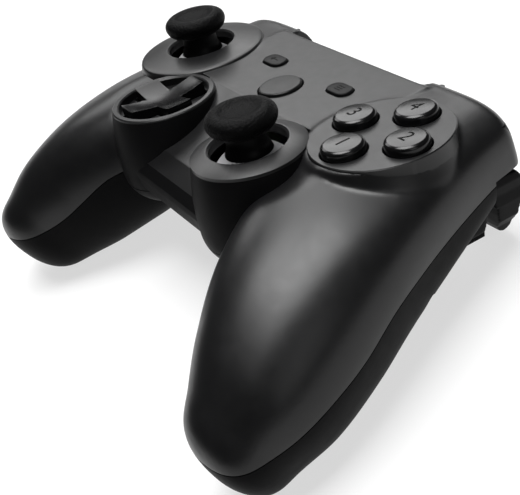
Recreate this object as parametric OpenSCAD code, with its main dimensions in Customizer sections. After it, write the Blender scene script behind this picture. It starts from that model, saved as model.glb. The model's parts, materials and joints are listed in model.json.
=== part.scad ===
// Wireless game pad with two sticks, drawn as the separate pieces it is put together from.
// Every piece is drawn on the deck, whose zero height is the flat centre panel.
// The deck is then tipped to the way the pad lies on a table, on both grips and the battery box.

/* [Layout] */
// Sideways distance of the left stick and the button disc from the middle
upper_x = 45; // [43:0.5:47]
// Fore and aft place of the left stick and the button disc
upper_y = 12; // [11:0.25:13]
// Sideways distance of the direction cross and the right stick from the middle
lower_x = 24; // [23:0.25:25]
// Fore and aft place of the direction cross and the right stick
lower_y = -11; // [-12:0.25:-10]
// Fore and aft place of the home button
home_y = 12; // [9:0.25:14]
// Sideways distance of the back and menu buttons from the middle
small_x = 16; // [14:0.25:18]
// Fore and aft place of the back and menu buttons
small_y = 20; // [18:0.25:22]

/* [Shell] */
// Wall thickness of both shells
wall = 2.2; // [1.8:0.1:2.4]
// Open seam between the two shells
seam = 0.3; // [0.1:0.05:0.5]
// Length of the rounded end of a grip
tip_len = 11; // [9:0.5:12]
// Length of the rounded rear end of a shoulder
rear_len = 6; // [5.5:0.25:6.5]
// Radius of the top edge of a turret
turret_r = 14; // [13.6:0.1:14.4]
// Radius of the flat top of the button disc
disc_r = 17; // [16.6:0.1:17.6]
// Height of the button disc above the panel
disc_z = 0.8; // [0.5:0.1:1.2]
// Radius of the shoulder of the left stick pod
pod_r = 17.4; // [17:0.1:18]

/* [Sticks] */
// Radius of the hole round a stick
stick_hole_r = 9.5; // [9.2:0.1:10]
// Height of the rim of a stick hole above the panel
stick_rim_z = 1.9; // [1.5:0.1:2.2]
// Depth of the stick's turning centre below the panel
pivot_z = -10.5; // [-10.8:0.1:-10.2]
// Outer radius of the dome that closes the hole
dome_r = 11.8; // [11.6:0.1:12]
// Radius of the soft cap
cap_r = 8.7; // [8:0.1:9.2]
// Height of the underside of the cap above the panel
cap_bottom = 6; // [5.8:0.1:7]
// Height of the rim of the cap above the panel
cap_top = 10.6; // [10:0.1:12]
// Half width of the stick's base frame
base_half = 7; // [6.8:0.1:7.2]
// Radius of the pins of the gimbal ring and the rocker
gimbal_pin_r = 0.9; // [0.7:0.05:1]

/* [Buttons] */
// Radius of a face button
face_r = 5.2; // [4.8:0.1:5.4]
// Distance of a face button from the middle of the disc
face_step = 10.1; // [9.8:0.1:10.4]
// Height of the middle of a face button above the panel
face_top = 3.1; // [2.6:0.1:3.6]
// Radius of the home button
home_r = 5.7; // [5:0.1:6.4]
// Half length of the straight part of a back or menu button
pill_half = 1.5; // [1:0.1:2]
// Radius of the ends of a back or menu button
pill_r = 2.3; // [1.8:0.1:2.6]
// Play round every button
button_play = 0.3; // [0.2:0.05:0.4]

/* [Direction cross] */
// Radius of the dish
dish_r = 12.4; // [12:0.1:12.8]
// Depth of the dish floor below the panel
dish_z = -2; // [-2.4:0.1:-1.6]
// Half length of the cross
cross_half = 10.8; // [10:0.1:11.2]
// Half width of an arm of the cross
arm_half = 3.5; // [3:0.1:4]
// Play round the cross where it goes through the dish floor
cross_play = 0.8; // [0.7:0.05:1]
// Radius of the ball that the cross rocks on
ball_r = 2.6; // [2.4:0.1:2.8]
// Depth of the middle of the ball below the panel
ball_z = -8.3; // [-8.6:0.1:-8]

/* [Bumpers and triggers] */
// Radius of the trigger pins
pin_r = 1.5; // [1.2:0.1:1.8]
// Fore and aft place of the trigger pins
trigger_y = 28; // [27.5:0.1:28.3]
// Depth of the trigger pins below the panel
trigger_z = -16; // [-16.4:0.1:-15.8]
// Depth of the top of a bumper below the panel
bumper_top = -4.6; // [-5:0.1:-4.5]
// Depth of the bottom of a bumper below the panel
bumper_bottom = -13.8; // [-14:0.1:-13.2]

/* [Inside] */
// Depth of the top of the circuit board below the panel
board_z = -16.5; // [-16.7:0.1:-16.3]
// Thickness of the circuit board
board_t = 1.6; // [1.2:0.1:1.7]
// Radius of an AA cell
cell_r = 7.25; // [6.9:0.05:7.3]
// Length of an AA cell with its nub
cell_len = 50.5; // [49.5:0.1:50.5]
// Radius of the left rumble motor
left_motor_r = 9; // [8:0.25:9.5]
// Radius of the right rumble motor
right_motor_r = 7.5; // [6.5:0.25:8]
// Length of a rumble motor
motor_len = 13; // [10:0.5:13]
// Depth of the underside of the battery box below the panel
box_z = -38.5; // [-39:0.1:-38.4]

/* [Rest] */
// Angle between the panel and the table
rest_tilt = 12.01; // [10:0.1:13]
// Height of the middle of the panel above the table
rest_z = 44.217; // [40:0.01:50]
// Shift that centres the pad fore and aft
rest_y = 12.478; // [0:0.01:16]

/* [Hidden] */
$fn = 48;

// Sections of the right lobe, from the shoulder down to the grip.
// Each row: fore and aft place, sideways place, height, half width, half height, roll, squareness
sections = [
    [36, 38.5, -11, 21, 10.6, 0, 3.3],
    [24, 41, -12.9, 21.5, 12.9, 4.5, 3.4],
    [8, 44.8, -16.3, 22.3, 16, 10.3, 3.1],
    [-8, 49.2, -20.8, 22.9, 18.8, 15.6, 2.6],
    [-22, 54, -26.8, 22, 19.7, 19.9, 2.4],
    [-35, 59.2, -34.1, 18.7, 18.2, 22.2, 2.3],
    [-45, 62.5, -40.2, 14, 14.8, 22.4, 2.35]
];
last = len(sections) - 1;
per_section = 3;
round_n = 26;

// Height of the part line on the inner and on the outer side of a lobe
split_in = [[-70, -37], [-57, -36.5], [-50, -34], [-45, -31], [-40, -27.5], [-35, -23.5],
    [-29, -20], [-21, -19], [-8, -18], [7, -16.5], [19, -15.5], [31, -14.5], [60, -13.5]];
split_out = [[-70, -39], [-57, -39], [-50, -38.5], [-45, -38], [-40, -36], [-35, -34],
    [-29, -32], [-21, -30], [-8, -24], [7, -20.5], [19, -18], [31, -15.6], [60, -14]];
split_x = [-95, -78, -56, -35, 35, 56, 78, 95];
split_y = [-70, -57, -50, -45, -40, -35, -29, -21, -8, 7, 19, 31, 60];

// Places of the screws
shell_screw_at = [[65, -40], [63, 4], [-65, -40], [-63, 4]];
board_screw_at = [[27, 28.5], [-27, 28.5], [8, -19], [-8, -19]];
// Middle of a rumble motor, on the right
motor_at = [55, -14, -28.5];
// Ends of the battery bay
bay_x = cell_len / 2 + 4.25;
bay_front = -2;
bay_rear = 30;
bay_top = box_z + 17.2;
cell_y = [6, 22];
door_t = 1.7;
cell_z = box_z + 2.1 + cell_r;
// Places of the four face buttons, near, right, left and far
face_at = [[0, -face_step], [face_step, 0], [-face_step, 0], [0, face_step]];
fit = 0.05;
// Inner end of a shoulder, and the rear face of the middle
shoulder_x = 30.6;
middle_y = 35;
// Peg that a bumper turns on
peg_at = [33.6, 37.2];
peg_r = 1.2;

function row(k) = k < 0 ? 2 * sections[0] - sections[1]
    : k > last ? 2 * sections[last] - sections[last - 1] : sections[k];
function smooth(a, b, c, d, f) =
    b + 0.5 * f * ((c - a) + f * ((2 * a - 5 * b + 4 * c - d) + f * (3 * (b - c) + d - a)));
function slope(a, b, c, d, f) =
    0.5 * ((c - a) + f * (2 * (2 * a - 5 * b + 4 * c - d) + 3 * f * (3 * (b - c) + d - a)));
function section(u) = let (k = floor(u)) smooth(row(k - 1), row(k), row(k + 1), row(k + 2), u - k);
function run(u) = let (k = floor(u)) slope(row(k - 1), row(k), row(k + 1), row(k + 2), u - k);
function bent(v, n) = sign(v) * pow(abs(v), 2 / n);
// One ring of the lobe: centre, half sizes, roll, pitch and squareness
function ring(c, a, b, roll, pitch, n) = [
    for (i = [0 : round_n - 1])
        let (t = 360 * (i + 0.5) / round_n, p = a * bent(cos(t), n), q = b * bent(sin(t), n))
        let (x = p * cos(roll) + q * sin(roll), v = q * cos(roll) - p * sin(roll))
        [c[0] + x, c[1] - sin(pitch) * v, c[2] + cos(pitch) * v]
];
function pitch_of(d) = atan2(-d[2], -d[0]);
function ring_at(u, inset) =
    let (s = section(u))
    ring([s[1], s[0], s[2]], s[3] - inset, s[4] - inset, s[5], pitch_of(run(u)), s[6]);
// A ring beyond an end of the lobe, at share e of the rounding length
// The grip's tip goes on narrowing at the rate that the last section has
function ring_end(u, away, len, e, power, inset) =
    let (s = section(u), d = run(u), step = norm([d[0], d[1], d[2]]))
    let (k = pow(max(0, 1 - pow(e, power)), 1 / power), fall = max(0, away) * len * e * pow(1 - e, 2) / step)
    let (c = [s[1], s[0], s[2]] + away * [d[1], d[0], d[2]] * len * e / step)
    ring(c, (s[3] - inset) * k + fall * d[3], (s[4] - inset) * k + fall * d[4], s[5], pitch_of(d), s[6]);
function lobe_rings(inset) = concat(
    [for (e = [0.98, 0.88, 0.7, 0.4]) ring_end(0, -1, rear_len - inset, e, 2.2, inset)],
    [for (i = [0 : last * per_section]) ring_at(i / per_section, inset)],
    [for (e = [0.3, 0.58, 0.8, 0.93, 0.99]) ring_end(last, 1, tip_len - inset, e, 2.2, inset)]
);
module skin(rings) {
    m = len(rings);
    n = len(rings[0]);
    polyhedron(
        points = [for (r = rings) each r],
        faces = concat(
            [[for (j = [0 : n - 1]) j]],
            [for (i = [0 : m - 2]) for (j = [0 : n - 1]) let (k = (j + 1) % n)
                each [[i * n + j, (i + 1) * n + j, (i + 1) * n + k], [i * n + j, (i + 1) * n + k,
                    i * n + k]]],
            [[for (j = [n - 1 : -1 : 0]) (m - 1) * n + j]]
        ),
        convexity = 6
    );
}
module lobe(inset) {
    difference() {
        skin(lobe_rings(inset));
        bar(-shoulder_x - inset, shoulder_x + inset, middle_y - 0.4 - inset, 60, -60, 20);
    }
}
module both() {
    children();
    mirror([1, 0, 0]) children();
}
module deck() {
    translate([0, rest_y, rest_z]) rotate([-rest_tilt, 0, 0]) children();
}
// Height of the part line at a place on the deck
function split_z(x, y) =
    let (k = max(0, min(1, (abs(x) - 35) / 43)))
    (1 - k) * lookup(y, split_in) + k * lookup(y, split_out);
// Everything above the part line, or everything below it
module side_of_split(up) {
    nx = len(split_x);
    ny = len(split_y);
    n = nx * ny;
    shift = up ? seam / 2 : -seam / 2;
    far = up ? 40 : -90;
    cells = [for (i = [0 : ny - 2]) for (j = [0 : nx - 2]) i * nx + j];
    low = up ? 0 : n;
    high = up ? n : 0;
    edge = concat([for (j = [0 : nx - 1]) j], [for (i = [1 : ny - 1]) i * nx + nx - 1],
        [for (j = [nx - 2 : -1 : 0]) (ny - 1) * nx + j], [for (i = [ny - 2 : -1 : 1]) i * nx]);
    ne = len(edge);
    polyhedron(
        points = concat([for (y = split_y) for (x = split_x) [x, y, split_z(x, y) + shift]],
            [for (y = split_y) for (x = split_x) [x, y, far]]),
        faces = concat(
            [for (c = cells) each [[low + c, low + c + 1, low + c + nx + 1], [low + c, low + c + nx + 1,
            low + c + nx]]],
            [for (c = cells) each [[high + c, high + c + nx + 1, high + c + 1], [high + c, high + c + nx,
            high + c + nx + 1]]],
            [for (i = [0 : ne - 1]) let (a = edge[i], b = edge[(i + 1) % ne])
                each [[low + a, high + a, high + b], [low + a, high + b, low + b]]]
        ),
        convexity = 4
    );
}
// A shape drawn fore and aft against height, stretched sideways
module across(x0, x1) {
    translate([x0, 0, 0]) rotate([90, 0, 90]) linear_extrude(x1 - x0) children();
}
// A shape drawn sideways against height, stretched fore and aft
module along(y0, y1) {
    translate([0, y1, 0]) rotate([90, 0, 0]) linear_extrude(y1 - y0) children();
}
module bar(x0, x1, y0, y1, z0, z1) {
    translate([x0, y0, z0]) cube([x1 - x0, y1 - y0, z1 - z0]);
}
module post(x, y, z0, z1, r) {
    translate([x, y, z0]) cylinder(h = z1 - z0, r = r);
}
// The middle of the body, with the battery box under it
module middle(inset) {
    intersection() {
        across(-34 + inset, 34 - inset) offset(delta = -inset)
            polygon([[33.6, 0], [middle_y - 0.5, -1], [middle_y, -3], [middle_y, -15], [33.5, -36],
                [31.5, box_z], [-4, box_z],
                [-7, box_z + 2], [-10, -34], [-10, 0]]);
        along(-60, 60) offset(delta = -inset)
            polygon([[-34, 9], [34, 9], [34, -30], [32.5, -36.5], [30.5, box_z], [-30.5, box_z], [-32.5,
                -36.5], [-34, -30]]);
    }
    across(-24, 24) offset(delta = -inset)
        polygon([[10, 0], [10, -33], [-10, -33], [-23.5, -21], [-25.4, -18.5], [-25.2, -8], [-24.4, -5],
            [-22.8, -1],
            [-21.5, 0]]);
}
// The swelling in front of a trigger
module trigger_house(inset) {
    intersection() {
        across(28, 58) offset(delta = -inset)
            polygon([[8, -12], [8, -26], [18, -31], [25, -33], [28, -32.4], [29, -30], [29, -12]]);
        along(0, 60) offset(delta = -inset)
            polygon([[20, -5], [57.5, -5], [57.5, -24], [55.5, -29.5], [52, -33], [20, -33]]);
    }
}
module spun(profile) {
    rotate_extrude() polygon(profile);
}
// Outer forms that stand on the body
module turret(top) {
    spun(concat([[0, -28], [8, -27], [13.5, -24], [16, -20], [16.3, -14], [15.8, -8], [turret_r + 0.9, -3],
        [turret_r + 0.25, -0.4]], top));
}
module cross_turret() {
    translate([-lower_x, lower_y, 0]) turret([[turret_r, 0], [dish_r + 1.3, 0.3], [0, 0.3]]);
}
module stick_turret() {
    translate([lower_x, lower_y, 0])
        turret([[turret_r, 0.5], [stick_hole_r + 1, stick_rim_z], [0, stick_rim_z]]);
}
module button_boss() {
    translate([upper_x, upper_y, 0])
        spun([[0, -14], [20.6, -14], [20.4, -8], [19.7, -5.6], [18.9, -3.6], [18.2, -1.8],
            [disc_r + 0.6, -0.2], [disc_r + 0.3, disc_z - 0.3], [disc_r, disc_z], [0, disc_z]]);
}
module stick_pod() {
    translate([-upper_x, upper_y, 0])
        spun([[0, -14], [pod_r + 1.6, -14], [pod_r + 1.6, -6], [pod_r + 1.4, -3], [pod_r + 1.1, -1.2],
            [pod_r + 0.7, 0.2], [pod_r, 0.7], [stick_hole_r + 1, stick_rim_z], [0, stick_rim_z]]);
}
module body() {
    both() lobe(0);
    both() trigger_house(0);
    middle(0);
    cross_turret();
    stick_turret();
    button_boss();
    stick_pod();
}
// Everything hollow inside both shells
module hollow() {
    difference() {
        union() {
            both() lobe(wall);
            both() trigger_house(wall);
            middle(wall);
            translate([-lower_x, lower_y, 0]) spun([[0, -25.5], [8, -24.6], [11.8, -22], [13.8, -19],
                [14, -14],
                [13.5, -8], [turret_r - wall, -4], [0, -4]]);
            translate([lower_x, lower_y, 0]) spun([[0, -25.5], [8, -24.6], [11.8, -22], [13.8, -19], [14,
                -14],
                [13.5, -8], [turret_r - wall, -1.4], [0, stick_rim_z - wall - 0.6]]);
            translate([upper_x, upper_y, 0]) cylinder_down(disc_r - 0.2, disc_z - wall, -9);
            translate([-upper_x, upper_y, 0]) cylinder_down(pod_r - 2.5, stick_rim_z - wall - 0.8, -9);
        }
        bar(-33, 33, bay_front - 2.2, 40, -80, bay_top + 1.8);
    }
}
module cylinder_down(r, z1, z0) {
    translate([0, 0, z0]) cylinder(h = z1 - z0, r = r);
}
module pill(half, r, h) {
    hull() {
        translate([-half, 0, 0]) cylinder(h = h, r = r);
        translate([half, 0, 0]) cylinder(h = h, r = r);
    }
}
// The rounded rear end of the right shoulder, which the bumper goes on with
module shoulder_end() {
    skin(concat(
        [for (e = [0.98, 0.88, 0.7, 0.4]) ring_end(0, -1, rear_len, e, 2.2, 0)],
        [for (i = [0 : 2]) ring_at(i / per_section, 0)]
    ));
}
// Room that both shells leave for a bumper and a trigger
module rear_openings() {
    both() {
        bar(shoulder_x - 0.6, 57.8, 34.2, 60, -14.6, bumper_top + 0.3);
        bar(37.4, 62, 29.2, 60, -45, -14.4);
        bar(37.9, 46.4, 20, 60, -21.5, -11.5);
    }
}

// Front shell
module front_shell() {
    $fn = 32;
    color("#232427") deck() difference() {
        union() {
            difference() {
                intersection() {
                    body();
                    side_of_split(true);
                }
                hollow();
            }
            intersection() {
                body();
                post(-lower_x, lower_y, dish_z - 1.6, 0, turret_r - 0.6);
            }
            for (p = board_screw_at) hull() {
                post(p[0], p[1], board_z, -1, 2.4);
                bar(p[0] - 3.4, p[0] + 3.4, p[1] - 0.7, p[1] + 0.7, -5, -1);
            }
            for (p = shell_screw_at) intersection() {
                post(p[0], p[1], split_z(p[0], p[1]) + seam / 2, 10, 3);
                both() lobe(0.6);
            }
            intersection() {
                both() {
                    hull() {
                        bar(41, 47, 29.2, 31, -11.6, -6.6);
                        bar(41, 47, 28.4, 31, -5, -1);
                    }
                    post(peg_at[0], peg_at[1], bumper_bottom + 1, 0, peg_r);
                }
                both() lobe(0.6);
            }
        }
        for (p = [[-upper_x, upper_y], [lower_x, lower_y]]) {
            post(p[0], p[1], -9, 10, stick_hole_r);
            translate([p[0], p[1], stick_rim_z - 0.5])
                cylinder(h = 0.6, r1 = stick_hole_r - 0.01, r2 = stick_hole_r + 0.6);
        }
        post(-lower_x, lower_y, dish_z, 5, dish_r);
        translate([-lower_x, lower_y, 0]) for (a = [0, 90]) rotate(a)
            bar(-cross_half - cross_play, cross_half + cross_play, -arm_half - cross_play,
                arm_half + cross_play,
                dish_z - 4, 4);
        for (p = face_at) post(upper_x + p[0], upper_y + p[1], -4, 5, face_r + button_play);
        post(0, home_y, -4, 5, home_r + button_play);
        for (s = [-1, 1]) translate([s * small_x, small_y, -4]) pill(pill_half, pill_r + button_play, 8);
        for (p = shell_screw_at) post(p[0], p[1], -60, split_z(p[0], p[1]) + 8, 1.35);
        for (p = board_screw_at) post(p[0], p[1], -30, board_z + 7, 0.95);
        bumper_room();
    }
}
// The bumper's room in the front shell, with its peg left standing
module bumper_room() {
    difference() {
        rear_openings();
        both() post(peg_at[0], peg_at[1], bumper_bottom + 1, 0, peg_r);
    }
}

// Rear shell
module rear_shell() {
    $fn = 32;
    color("#1e1f22") deck() difference() {
        union() {
            difference() {
                intersection() {
                    body();
                    side_of_split(false);
                }
                difference() {
                    hollow();
                    intersection() {
                        rear_fittings();
                        body();
                    }
                }
                rear_openings();
            }
            both() for (x = [35.4, 52.3]) trigger_lug(x);
        }
        bar(-bay_x, bay_x, bay_front, bay_rear, -80, bay_top);
        both() across_hole(30, 60, trigger_y, trigger_z, pin_r + 0.02);
        for (p = shell_screw_at) {
            post(p[0], p[1], -60, 0, 1.5);
            post(p[0], p[1], -70, split_z(p[0], p[1]) - 6, 3);
        }
        bar(-6.2, 6.2, bay_rear - 1, bay_rear + 1.2, -80, box_z + door_t + 0.02);
        for (x = [-17, 17]) bar(x - 4.2, x + 4.2, bay_front - 1.2, bay_front + 1, -80,
            box_z + door_t + 0.02);
    }
}
module across_hole(x0, x1, y, z, r) {
    translate([x0, y, z]) rotate([0, 90, 0]) cylinder(h = x1 - x0, r = r);
}
// Plate that carries one end of a trigger pin
module trigger_lug(x) {
    hull() {
        across_hole(x, x + 2.2, trigger_y, trigger_z, pin_r + 1.1);
        bar(x, x + 2.2, 22, 29, -31.5, -26);
    }
}
// Motor cradles and screw posts that rise from the floor of the rear shell
module rear_fittings() {
    for (s = [-1, 1]) for (dy = [-motor_len + 2, -4])
        difference() {
            hull() {
                bar(s * motor_at[0] - 8, s * motor_at[0] + 8, motor_at[1] + dy, motor_at[1] + dy + 2,
                    -34, motor_at[2]);
                bar(s * motor_at[0] - 8, s * motor_at[0] + 8, motor_at[1] + dy - 1, motor_at[1] + dy + 3,
                    -60, -46);
            }
            translate([s * motor_at[0], 0, motor_at[2]]) rotate([90, 0, 0])
                cylinder(h = 120, r = (s > 0 ? right_motor_r : left_motor_r) + 0.08, center = true);
        }
    for (p = shell_screw_at) post(p[0], p[1], -60, split_z(p[0], p[1]) - seam / 2, 4.2);
}

// Batteries
module battery_door() {
    color("#1b1c1f") deck() {
        bar(-bay_x + 0.2, bay_x - 0.2, bay_front + 0.2, bay_rear - 0.2, box_z, box_z + door_t);
        bar(-5.9, 5.9, bay_rear - 2, bay_rear + 0.9, box_z, box_z + door_t);
        for (x = [-17, 17]) {
            bar(x - 3.9, x + 3.9, bay_front - 0.9, bay_front + 2, box_z, box_z + door_t);
            bar(x - 0.8, x + 0.8, bay_front + 1, bay_rear - 1, box_z + door_t - 0.2,
                cell_z - cell_r - 0.02);
        }
    }
}
module cell(y, turn) {
    translate([0, y, cell_z]) rotate([0, 90, turn]) {
        translate([0, 0, -cell_len / 2 + 3.8]) cylinder(h = cell_len - 1.4, r = cell_r);
        translate([0, 0, cell_len / 2 + 1]) cylinder(h = 2.8, r = 2.7);
    }
}
module front_cell() {
    color("#3d6f4a") deck() cell(cell_y[0], 0);
}
module rear_cell() {
    color("#3d6f4a") deck() cell(cell_y[1], 180);
}
// Closed turns of a cone spring, from its plate to the end of the cell
module contact_spring(y, turn) {
    translate([0, y, cell_z]) rotate([0, 90, turn]) translate([0, 0, -bay_x + 0.86])
        rotate_extrude() for (i = [0 : 9]) translate([5.2 - i * 0.3, i * 0.75]) circle(r = 0.42, $fn = 24);
}
module battery_springs() {
    color("#b9bcc2") deck() {
        contact_spring(cell_y[0], 0);
        contact_spring(cell_y[1], 180);
    }
}
module battery_plates() {
    color("#c9ccd2") deck() for (s = [-1, 1])
        bar(s * (bay_x - 0.22) - 0.2, s * (bay_x - 0.22) + 0.2, cell_y[0] - 5, cell_y[1] + 5, cell_z - 5,
            cell_z + 5);
}

// Board, screws and membranes
module main_board() {
    color("#1f5a3c") deck() difference() {
        translate([0, 0, board_z - board_t]) linear_extrude(board_t)
            polygon([[-31, 31.4], [31, 31.4], [31, 24.6], [51, 24.6], [57, 21.5], [59.6, 18], [59.6, 7],
                [56, 3], [40, -2],
                [37.5, -12], [34, -20], [12, -20], [11, -21.8], [-11, -21.8], [-12, -20], [-34, -20],
                [-37.5, -12],
                [-40, -2], [-56, 3], [-59.6, 7], [-59.6, 18], [-57, 21.5], [-51, 24.6], [-31, 24.6]]);
        for (p = board_screw_at) post(p[0], p[1], -40, 0, 1.1);
    }
}
module shell_screws() {
    color("#8f9298") deck() for (p = shell_screw_at) {
        post(p[0], p[1], split_z(p[0], p[1]) - 8, split_z(p[0], p[1]) - 6.03, 2.6);
        post(p[0], p[1], split_z(p[0], p[1]) - 7, split_z(p[0], p[1]) + 7, 1.25);
    }
}
module board_screws() {
    color("#8f9298") deck() for (p = board_screw_at) {
        post(p[0], p[1], board_z - board_t - 1.05, board_z - board_t - 0.02, 1.9);
        post(p[0], p[1], board_z - board_t - 0.6, board_z + 6, 0.9);
    }
}
module contact_dome(x, y, r) {
    translate([x, y, board_z]) cylinder(h = 2.1, r1 = r, r2 = r - 0.9);
}
module action_membrane() {
    color("#5a5d63") deck() translate([upper_x, upper_y, 0]) {
        for (p = face_at) {
            post(p[0], p[1], board_z, board_z + 1.2, 2.6);
            contact_dome(p[0], p[1], 2.4);
        }
        bar(-face_step, face_step, -2, 2, board_z, board_z + 1.2);
        bar(-2, 2, -face_step, face_step, board_z, board_z + 1.2);
    }
}
module cross_membrane() {
    color("#5a5d63") deck() translate([-lower_x, lower_y, 0]) difference() {
        union() {
            post(0, 0, board_z, board_z + 1.2, 10.4);
            for (p = [[8, 0], [-8, 0], [0, 8], [0, -8]]) contact_dome(p[0], p[1], 2.3);
        }
        post(0, 0, board_z - 1, board_z + 4, 3);
    }
}
module centre_membrane() {
    color("#5a5d63") deck() {
        bar(-small_x, small_x, home_y, small_y, board_z, board_z + 1.2);
        post(0, home_y, board_z, board_z + 1.2, 3.6);
        contact_dome(0, home_y, 2.8);
        for (s = [-1, 1]) {
            post(s * small_x, small_y, board_z, board_z + 1.2, 3);
            contact_dome(s * small_x, small_y, 2.3);
        }
    }
}

// Sticks, each drawn about its own turning centre
module at_stick(left) {
    deck() translate([left ? -upper_x : lower_x, left ? upper_y : lower_y, pivot_z]) children();
}
base_low = board_z - pivot_z;
module stick_base() {
    difference() {
        bar(-base_half, base_half, -base_half, base_half, base_low, 2.4);
        bar(-base_half + 1.2, base_half - 1.2, -base_half + 1.2, base_half - 1.2, base_low - 1, 3);
        across_hole(-10, 10, 0, 0, gimbal_pin_r + fit);
    }
}
module stick_sensors() {
    bar(-base_half - 2.5, -base_half - 0.03, -4.6, 4.6, base_low, 0.8);
    bar(-4.6, 4.6, base_half + 0.03, base_half + 2.5, base_low, 0.8);
}
// The gimbal ring keeps clear of the base's wall, and the rocker of the ring
ring_x = base_half - 1.7;
ring_y = base_half - 3;
module stick_gimbal() {
    difference() {
        union() {
            bar(-ring_x, ring_x, -ring_y, ring_y, -1.1, 1.1);
            across_hole(-base_half + 0.1, base_half - 0.1, 0, 0, gimbal_pin_r);
        }
        bar(-ring_x + 1.4, ring_x - 1.4, -ring_y + 1.3, ring_y - 1.3, -3, 3);
        rotate([90, 0, 0]) cylinder(h = 20, r = gimbal_pin_r - 0.1 + fit, center = true);
    }
}
module stick_rocker() {
    difference() {
        union() {
            bar(-ring_x + 2.3, ring_x - 2.3, -ring_y + 1.6, ring_y - 1.6, -1.1, 1.1);
            rotate([90, 0, 0]) cylinder(h = 2 * ring_y - 0.4, r = gimbal_pin_r - 0.1, center = true);
        }
        cylinder(h = 10, r = 1.5 + fit, center = true);
    }
}
neck_top = cap_bottom - pivot_z + 1.6;
module stick_lever() {
    rotate_extrude() polygon(concat(
        [[0, -2.7], [1.5, -2.7], [1.5, 6], [2.6, dome_r - 0.9]],
        [for (a = [18 : 6 : 60]) (dome_r - 0.8) * [sin(a), cos(a)]],
        [for (a = [60 : -6 : 30]) dome_r * [sin(a), cos(a)]],
        [[4.9, dome_r - 0.5], [4.3, dome_r + 0.6], [3.9, dome_r + 2], [3.8, neck_top - 1.65], [3.5,
        neck_top - 1.6],
            [3.5, neck_top], [0, neck_top]]
    ));
}
module stick_cap() {
    z0 = cap_bottom - pivot_z;
    z1 = cap_top - pivot_z;
    difference() {
        rotate_extrude() polygon([[0, z0], [5.6, z0], [7.2, z0 + 0.5], [8.3, z0 + 1.5], [cap_r, z0 + 2.8],
            [cap_r - 0.1, z1 - 0.9], [cap_r - 0.7, z1 - 0.2], [cap_r - 1.5, z1], [cap_r - 2.4, z1 - 0.25],
            [cap_r - 3.4, z1 - 0.8], [cap_r - 5.4, z1 - 1.2], [0, z1 - 1.4]]);
        cylinder(h = neck_top + 0.02, r = 3.52);
    }
}
module stick_switch() {
    bar(base_half + 0.05, base_half + 4, -2.5, 2.5, base_low, base_low + 3);
    post(base_half + 2, 0, base_low + 2.8, base_low + 3.6, 1);
}
module left_stick_base() {
    color("#7d8288") at_stick(true) stick_base();
}
module right_stick_base() {
    color("#7d8288") at_stick(false) stick_base();
}
module left_stick_sensors() {
    color("#3e7a55") at_stick(true) stick_sensors();
}
module right_stick_sensors() {
    color("#3e7a55") at_stick(false) stick_sensors();
}
module left_stick_gimbal() {
    color("#d8d8d2") at_stick(true) stick_gimbal();
}
module right_stick_gimbal() {
    color("#d8d8d2") at_stick(false) stick_gimbal();
}
module left_stick_rocker() {
    color("#b0b0aa") at_stick(true) stick_rocker();
}
module right_stick_rocker() {
    color("#b0b0aa") at_stick(false) stick_rocker();
}
module left_stick_lever() {
    color("#18191b") at_stick(true) stick_lever();
}
module right_stick_lever() {
    color("#18191b") at_stick(false) stick_lever();
}
module left_stick_cap() {
    color("#2c2d2f") at_stick(true) stick_cap();
}
module right_stick_cap() {
    color("#2c2d2f") at_stick(false) stick_cap();
}
module left_stick_switch() {
    color("#26282b") at_stick(true) stick_switch();
}
module right_stick_switch() {
    color("#26282b") at_stick(false) stick_switch();
}

// Direction cross, the ball it rocks on, and the post under the ball
module at_cross() {
    deck() translate([-lower_x, lower_y, 0]) children();
}
module cross_post() {
    color("#4a4d52") at_cross() difference() {
        post(0, 0, board_z, ball_z - 1.2, 2.4);
        translate([0, 0, ball_z]) sphere(r = ball_r + 0.03);
    }
}
module cross_ball() {
    color("#c4c7cc") at_cross() translate([0, 0, ball_z]) sphere(r = ball_r);
}
module direction_cross() {
    color("#101113") at_cross() difference() {
        union() {
            bar(-cross_half, cross_half, -arm_half, arm_half, -6.2, 0.9);
            bar(-arm_half, arm_half, -cross_half, cross_half, -6.2, 0.9);
            post(0, 0, -7, -5.2, 10.6);
            post(0, 0, ball_z + 0.4, -5, 4.4);
            for (p = [[8, 0], [-8, 0], [0, 8], [0, -8]]) post(p[0], p[1], -12.9, -6, 1.6);
        }
        translate([0, 0, ball_z]) sphere(r = ball_r + 0.03);
        cone_top = 11;
        translate([0, 0, 0.9 + cone_top]) sphere(r = cone_top + 0.7, $fn = 96);
    }
}

// Face buttons and centre buttons
module face_button(k) {
    color("#141517") deck() translate([upper_x + face_at[k][0], upper_y + face_at[k][1], 0]) {
        rotate_extrude() polygon([[0, -13], [3, -13], [3, disc_z - wall - 1.2], [face_r + 1,
            disc_z - wall - 1.2],
            [face_r + 1, disc_z - wall - 0.04], [face_r, disc_z - wall - 0.04], [face_r, face_top - 1.3],
            [face_r - 0.2, face_top - 0.8], [face_r - 0.8, face_top - 0.4], [face_r - 2.2,
            face_top - 0.1], [0, face_top]]);
    }
}
module face_button_near() {
    face_button(0);
}
module face_button_right() {
    face_button(1);
}
module face_button_left() {
    face_button(2);
}
module face_button_far() {
    face_button(3);
}
module home_button() {
    color("#1a1b1d") deck() translate([0, home_y, 0])
        rotate_extrude() polygon([[0, -13.6], [2, -13.6], [2, -wall - 1.1], [home_r + 1, -wall - 1.1],
            [home_r + 1, -wall - 0.04], [home_r, -wall - 0.04], [home_r, 0.1], [home_r - 0.4, 0.5],
            [home_r - 2, 0.8], [0, 0.95]]);
}
module small_button(s) {
    color("#1a1b1d") deck() translate([s * small_x, small_y, 0]) {
        flat_pill(pill_half, pill_r, -wall - 0.5, 0.7);
        flat_pill(pill_half, pill_r + 0.8, -wall - 1.1, -wall - 0.04);
        post(0, 0, -13.6, -wall - 0.6, 1.6);
    }
}
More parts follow.
